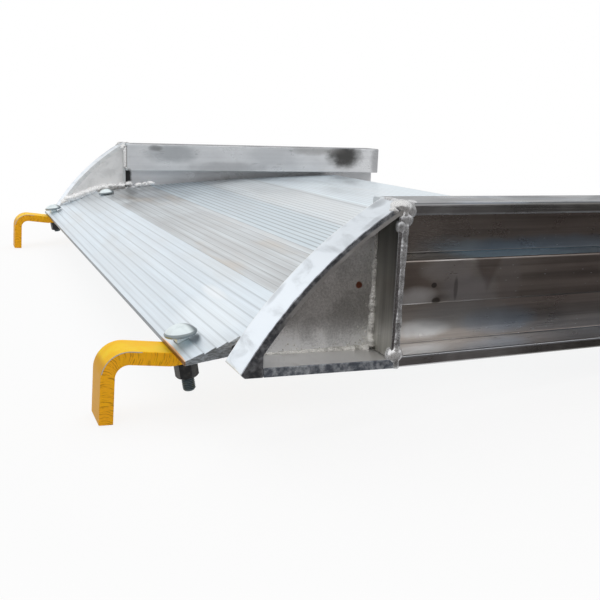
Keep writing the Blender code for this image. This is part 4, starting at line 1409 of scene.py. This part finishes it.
@dataclass
class Welds:
    """Weld beads: the seams round the rail ends, the fillets inside them and the beads at the nose."""

    ripple: float = 3.4
    sides: int = 12
    coarse: float = 0.14
    fine: float = 0.55
    tip: float = 0.35
    tip_growth: float = 0.22
    outermost: float = 591.5
    web: float = 556.0
    web_back: float = 551.5
    joint: float = 548.6
    foot: float = 8.2
    foot_rise: float = math.tan(math.radians(1.6))
    arc_inside: float = 392.5
    arc_points: int = 9
    arc_step: float = 12.8
    fillet_x: float = -5.8
    spatters: int = 60
    highest: float = 142.0
    widest: float = 593.7

    def build(self) -> None:
        """Build every bead."""
        seam = WeldFinish("seam_weld_metal", bright=(0.66, 0.665, 0.68), soot=grey(0.2), sooted=0.7,
                          grain=0.08, rough=(0.24, 0.34), metallic=0.7, patches=(
                              # Painted highlights on the drop at the seam's foot and on its top.
                              Patch((-4.0, 590.0, 14.0), (7.0, 9.0, 6.5), grey(1.0), 1.0),
                              Patch((-6.0, 588.0, 136.0), (9.0, 9.0, 7.0), (0.9, 0.88, 0.85), 0.4)))
        bright = WeldFinish("bright_weld_metal", bright=grey(1.0), sooted=0.15, grain=0.12, metallic=0.35)
        fillet = WeldFinish("fillet_weld_metal", bright=(0.85, 0.83, 0.79), soot=(0.4, 0.39, 0.37),
                            grain=1.0, rough=(0.24, 0.4))
        seam_metal, bright_metal, fillet_metal = seam.build(), bright.build(), fillet.build()
        for side in Side:
            self._finish(self._seam(side), seam_metal, f"{side.word}_end_weld")
            self._finish(self._fillets(side), fillet_metal)
            self._finish(self._inner_seam(side), bright_metal)
        self._finish(self._nose_beads(), bright_metal)

    @staticmethod
    def _finish(work: Work, material: Material, *replaces: str) -> None:
        """Finish the beads of one piece."""
        work.finish(material, "weld_bead", replaces, smooth=70.0, weighted=False)

    def _bead(self, work: Work, path: Sequence[Vector], radii: Sequence[float], rough: float = 0.12,
              ripple: float = 0.05, step: float = 0.8) -> None:
        """Lay a rippled bead along a path.

        Args:
            work: the mesh to add it to.
            path: the path's corners.
            radii: the bead's radius at each corner.
            rough: how uneven its radius is.
            ripple: how far its ripples stand out.
            step: the distance between its rings.
        """
        stations = self._stations(path, radii, step)
        travelled = 0.0
        way = Vector((0.0, 0.0, 1.0))
        turn = Matrix.Identity(4)
        for index, (point, radius) in enumerate(stations):
            before = stations[max(index - 1, 0)][0]
            after = stations[min(index + 1, len(stations) - 1)][0]
            travelled += (point - before).length
            onward = (after - before).normalized()
            turn = way.rotation_difference(onward).to_matrix().to_4x4() @ turn
            way = onward
            wave = 1.0 + ripple * math.sin(math.tau * travelled / self.ripple)
            wave += rough * (noise.noise(point * self.coarse) + 0.5 * noise.noise(point * self.fine))
            from_end = min(index, len(stations) - 1 - index)
            size = radius * wave * min(1.0, self.tip + from_end * self.tip_growth)
            place = Matrix.Translation(point) @ turn
            if index == 0:
                work.start_ring(place, self.sides, size)
                continue
            work.extend(Vector())
            for number, vert in enumerate(work.ring):
                angle = math.tau * number / self.sides
                vert.co = place @ (Vector((math.cos(angle), math.sin(angle), 0.0)) * size)
        work.close_ends()

    @staticmethod
    def _stations(path: Sequence[Vector], radii: Sequence[float], step: float
                  ) -> List[Tuple[Vector, float]]:
        """Divide a path evenly.

        Args:
            path: its corners.
            radii: the radius at each corner.
            step: the distance to keep.

        Returns:
            Points with their radii.
        """
        stations = []
        corners = list(zip(path, radii))
        for (first, start), (second, end) in zip(corners, corners[1:]):
            count = max(int((second - first).length / step), 1)
            for index in range(count):
                share = index / count
                stations.append((first.lerp(second, share), start + (end - start) * share))
        stations.append((path[-1], radii[-1]))
        return stations

    def _seam(self, side: Side) -> Work:
        """Lay the seam over, down and under the joint of one rail end, with its drops.

        Args:
            side: the rail end's side.

        Returns:
            The mesh.
        """
        work = Work(f"{side.word}_end_seam_bead")

        def at(x: float, depth: float, z: float) -> Vector:
            """Return a point this far in from the outermost face."""
            return Vector((x, side.value * (self.outermost - depth), z))

        path = ((-0.5, 37.0, 139.0), (-0.5, 4.0, 139.2), (-0.5, 1.6, 137.5), (-0.2, 1.6, 120.0),
                (-0.8, 1.9, 60.0), (-1.2, 1.7, 12.0), (-0.8, 2.0, 2.4), (-0.5, 5.0, 1.4), (-0.5, 37.0, 1.4))
        self._bead(work, [at(*corner) for corner in path],
                   [2.8, 3.3, 3.6, 3.5, 3.1, 3.4, 3.4, 2.8, 2.6], rough=0.14, ripple=0.012)
        for drop, reach in (((-1.8, 3.6, 11.5), (8.2, 5.8, 8.0)), ((1.4, 2.8, 2.4), (2.3, 3.0, 4.0)),
                            ((-4.0, 5.4, 137.2), (7.6, 7.4, 4.7)), ((4.0, 4.2, 134.0), (7.0, 6.2, 7.6)),
                            ((1.0, 3.4, 127.0), (7.2, 5.4, 7.4)), ((-3.0, 3.0, 121.0), (4.8, 4.6, 6.4)),
                            ((9.0, 9.0, 138.6), (5.0, 6.6, 3.2)), ((-10.0, 3.4, 133.6), (4.0, 4.2, 3.2))):
            work.blob(at(*drop), Vector(reach), 0.08)
        for vert in work.body.verts:
            vert.co.z = min(vert.co.z, self.highest)
            vert.co.y = side.value * min(abs(vert.co.y), self.widest)
        return work

    def _fillets(self, side: Side) -> Work:
        """Lay the gritty fillets between the web and the plates round it, with their spatter.

        Args:
            side: the rail end's side.

        Returns:
            The mesh.
        """
        sign = side.value
        work = Work(f"{side.word}_end_fillets")
        y = sign * (self.web - 2.0)
        self._bead(work, [Vector((x, y, self.foot - x * self.foot_rise - 0.6))
                          for x in (-117.0, -60.0, -26.0, -8.0)], [3.4, 3.8, 4.6, 6.2], 0.25, 0.0)
        self._bead(work, [Vector((self.fillet_x, y, z)) for z in (9.0, 26.0, 62.0, 124.0)],
                   [6.8, 5.6, 4.2, 3.2], 0.25, 0.0)
        arc = []
        for index in range(self.arc_points):
            x = -112.0 + index * self.arc_step
            height = math.sqrt(self.arc_inside ** 2 - (x - CAP_CENTRE[0]) ** 2)
            arc.append(Vector((x, y, CAP_CENTRE[1] + height)))
        self._bead(work, arc, [3.2] * len(arc), ripple=0.0)
        for vert in work.body.verts:
            vert.co.y = sign * max(abs(vert.co.y), self.web_back + 0.6)
        for index in range(self.spatters):
            spread = noise.cell_vector(Vector((index * 7.3, sign * 3.1, 1.7)))
            if index % 2:
                x, z = -10.0 - 12.0 * spread.y ** 2, 14.0 + 84.0 * spread.x ** 2
            else:
                x, z = -12.0 - 80.0 * spread.x ** 2, 13.0 + 8.0 * spread.y ** 2
            work.blob(Vector((x, sign * self.web, z)), Vector(grey(0.35 + 0.55 * spread.z)), 0.1, 1)
        return work

    def _inner_seam(self, side: Side) -> Work:
        """Lay the seam that closes the joint between the web and the rail's inner wall.

        Args:
            side: the rail end's side.

        Returns:
            The mesh.
        """
        sign = side.value
        work = Work(f"{side.word}_inner_seam_bead")
        for x, y, heights, radii, rough in ((0.6, self.joint, (90.5, 134.5), (3.6, 3.6), 0.12),
                                            (0.6, self.joint, (6.0, 46.0), (3.6, 3.6), 0.12),
                                            (-2.2, 551.0, (89.0, 134.0), (1.9, 2.4), 0.3)):
            self._bead(work, [Vector((x, sign * y, z)) for z in heights], radii, rough)
        for x, z, reach in ((-3.0, 133.0, (6.5, 3.4, 4.2)), (-1.5, 124.0, (3.6, 3.0, 6.0))):
            work.blob(Vector((x, sign * 549.5, z)), Vector(reach), 0.3)
        return work

    def _nose_beads(self) -> Work:
        """Lay the ragged bead along the foot of the left rail end, and the stitches to the deck.

        Returns:
            The mesh.
        """
        work = Work("nose_side_beads")
        path = ((-134.0, 15.6), (-118.0, 23.4), (-95.0, 32.0), (-64.0, 43.8), (-48.0, 47.6))
        self._bead(work, [Vector((x, self.joint, z)) for x, z in path], [5.0, 7.4, 8.4, 8.6, 7.0],
                   rough=0.3, ripple=0.02)
        end_drops = ((-118.0, 22.0, (7.0, 4.6, 4.4)), (-86.0, 33.4, (8.0, 4.6, 5.0)),
                     (-46.0, 46.0, (7.6, 5.2, 4.6)), (-32.0, 47.6, (6.6, 5.2, 4.4)),
                     (-10.0, 49.8, (6.0, 5.4, 4.6)), (6.0, 52.0, (6.6, 5.0, 4.2)),
                     (-22.0, 48.6, (4.4, 4.2, 3.2)))
        stitches = ((22.0, 53.4, (6.2, 4.2, 3.8)), (36.0, 55.0, (5.4, 4.4, 3.4)),
                    (49.0, 56.4, (7.0, 4.4, 4.0)))
        for drops, y, lift, growth in ((end_drops, self.joint - 2.0, 4.0, 1.3),
                                       (stitches, 530.5, 2.5, 1.25)):
            for x, z, reach in drops:
                work.blob(Vector((x, y, z + lift)), Vector(reach) * growth, 0.35)
        return work


# Studio


@dataclass
class Studio:
    """A pale floor, a white surround, a soft lamp, two dark cards and the camera."""

    lens: float = 47.591
    view: Tuple[Tuple[float, float, float, float], ...] = (
        (0.9174038, 0.1336595, -0.3748404, -0.5034773),
        (-0.3962124, 0.2186587, -0.8917422, -1.1467230),
        (-0.0372277, 0.9666041, 0.2535559, 0.2775215),
        (0.0, 0.0, 0.0, 1.0))
    ambient: float = 0.55
    lamp_place: Tuple[float, float, float] = (0.2, 0.6, 3.0)
    lamp_size: float = 4.0
    lamp_power: float = 60.0
    floor_size: float = 60.0
    shadow_reach: Tuple[float, float] = (0.5, 1.3)
    shadow_strength: float = 0.14
    card_size: float = 3.5

    def build(self) -> None:
        """Set up the stage."""
        bpy.context.scene.view_settings.view_transform = "Standard"
        self._camera()
        self._world()
        self._floor()
        self._lamp()
        self._dark_cards()

    def _camera(self) -> None:
        """Make the camera at the photograph's place."""
        data = bpy.data.cameras.new("photo_camera")
        data.lens = self.lens
        data.sensor_width = 36.0
        data.sensor_fit = "HORIZONTAL"
        data.clip_start = 0.02
        data.clip_end = 200.0
        camera = bpy.data.objects.new("photo_camera", data)
        camera.matrix_world = Matrix(self.view)
        bpy.context.scene.collection.objects.link(camera)
        bpy.context.scene.camera = camera

    def _world(self) -> None:
        """Make the surround: white where the camera or a reflection looks, soft light elsewhere."""
        graph = Graph(bpy.data.worlds.new("studio"))
        strength = graph.add("ShaderNodeMapRange", values={0: graph.seen(), 3: self.ambient, 4: 1.0})
        background = graph.add("ShaderNodeBackground", values={
            "Color": grey(1.0), "Strength": strength.outputs[0]})
        graph.add("ShaderNodeOutputWorld", values={"Surface": background.outputs[0]})
        bpy.context.scene.world = graph.owner

    def _floor(self) -> None:
        """Make a white floor that keeps a faint shadow."""
        graph = Graph(bpy.data.materials.new("pale_floor"))
        x, y, _ = graph.axes(graph.follow_object())
        tint = graph.mix(graph.noise(0.8), grey(0.86), grey(0.9))
        far = (x.squared() + y.squared()).smooth(*self.shadow_reach)
        lit = graph.add("ShaderNodeBsdfDiffuse", values={"Color": tint})
        glow = graph.add("ShaderNodeEmission", values={"Color": grey(1.0), "Strength": 1.0})
        share = graph.seen() * (far * self.shadow_strength + (1.0 - self.shadow_strength))
        mixed = graph.add("ShaderNodeMixShader", values={0: share, 1: lit.outputs[0], 2: glow.outputs[0]})
        graph.add("ShaderNodeOutputMaterial", values={"Surface": mixed.outputs[0]})
        self._sheet("floor", self.floor_size, Matrix.Identity(4), graph.owner)

    @staticmethod
    def _sheet(name: str, size: float, matrix: Matrix, material: Material
               ) -> bpy.types.Object:
        """Make a flat sheet of the stage.

        Args:
            name: its name.
            size: its edge, in metres.
            matrix: its place and stretch.
            material: its material.

        Returns:
            The sheet.
        """
        body = bmesh.new()
        bmesh.ops.create_grid(body, x_segments=2, y_segments=2, size=size / 2.0, matrix=matrix)
        mesh = bpy.data.meshes.new(name)
        body.to_mesh(mesh)
        body.free()
        mesh.materials.append(material)
        sheet = bpy.data.objects.new(name, mesh)
        bpy.context.scene.collection.objects.link(sheet)
        return sheet

    def _lamp(self) -> None:
        """Hang one large soft lamp overhead, which reflections don't show."""
        data = bpy.data.lights.new("overhead_lamp", "AREA")
        data.shape = "SQUARE"
        data.size = self.lamp_size
        data.energy = self.lamp_power
        lamp = bpy.data.objects.new("overhead_lamp", data)
        aim = (-Vector(self.lamp_place)).to_track_quat("-Z", "Y")
        lamp.matrix_world = Matrix.Translation(self.lamp_place) @ aim.to_matrix().to_4x4()
        lamp.visible_glossy = False
        bpy.context.scene.collection.objects.link(lamp)

    def _dark_cards(self) -> None:
        """Set dark cards on the near side, seen only in the metal's reflections."""
        graph = Graph(bpy.data.materials.new("dark_card"))
        graph.follow_object()
        colour = graph.mix(graph.noise(1.2).smooth(0.35, 0.65), (0.07, 0.06, 0.055), (0.15, 0.14, 0.14))
        glow = graph.add("ShaderNodeEmission", values={"Color": colour, "Strength": 1.0})
        graph.add("ShaderNodeOutputMaterial", values={"Surface": glow.outputs[0]})
        ground = Matrix.Translation((0.0, -2.36, 0.002)) @ Matrix.Diagonal((2.0, 1.0, 1.0, 1.0))
        wall = (Matrix.Translation((0.0, -4.2, 0.7)) @ Matrix.Rotation(math.radians(90.0), 4, "X")
                @ Matrix.Diagonal((2.0, 0.4, 1.0, 1.0)))
        for name, matrix in (("ground_card", ground), ("wall_card", wall)):
            card = self._sheet(name, self.card_size, matrix, graph.owner)
            card.visible_camera = False
            card.visible_diffuse = False
            card.visible_shadow = False
            card.visible_transmission = False


def main() -> None:
    """Build the ramp's pieces and the stage, in order."""
    logging.basicConfig(level=logging.INFO, format="%(name)s: %(message)s")
    for assembly in (Rails(), RailEnds(), Deck(), Hooks(), Fasteners(), Welds(), Studio()):
        LOG.info("building %s", type(assembly).__name__)
        assembly.build()


if __name__ == "__main__":
    main()
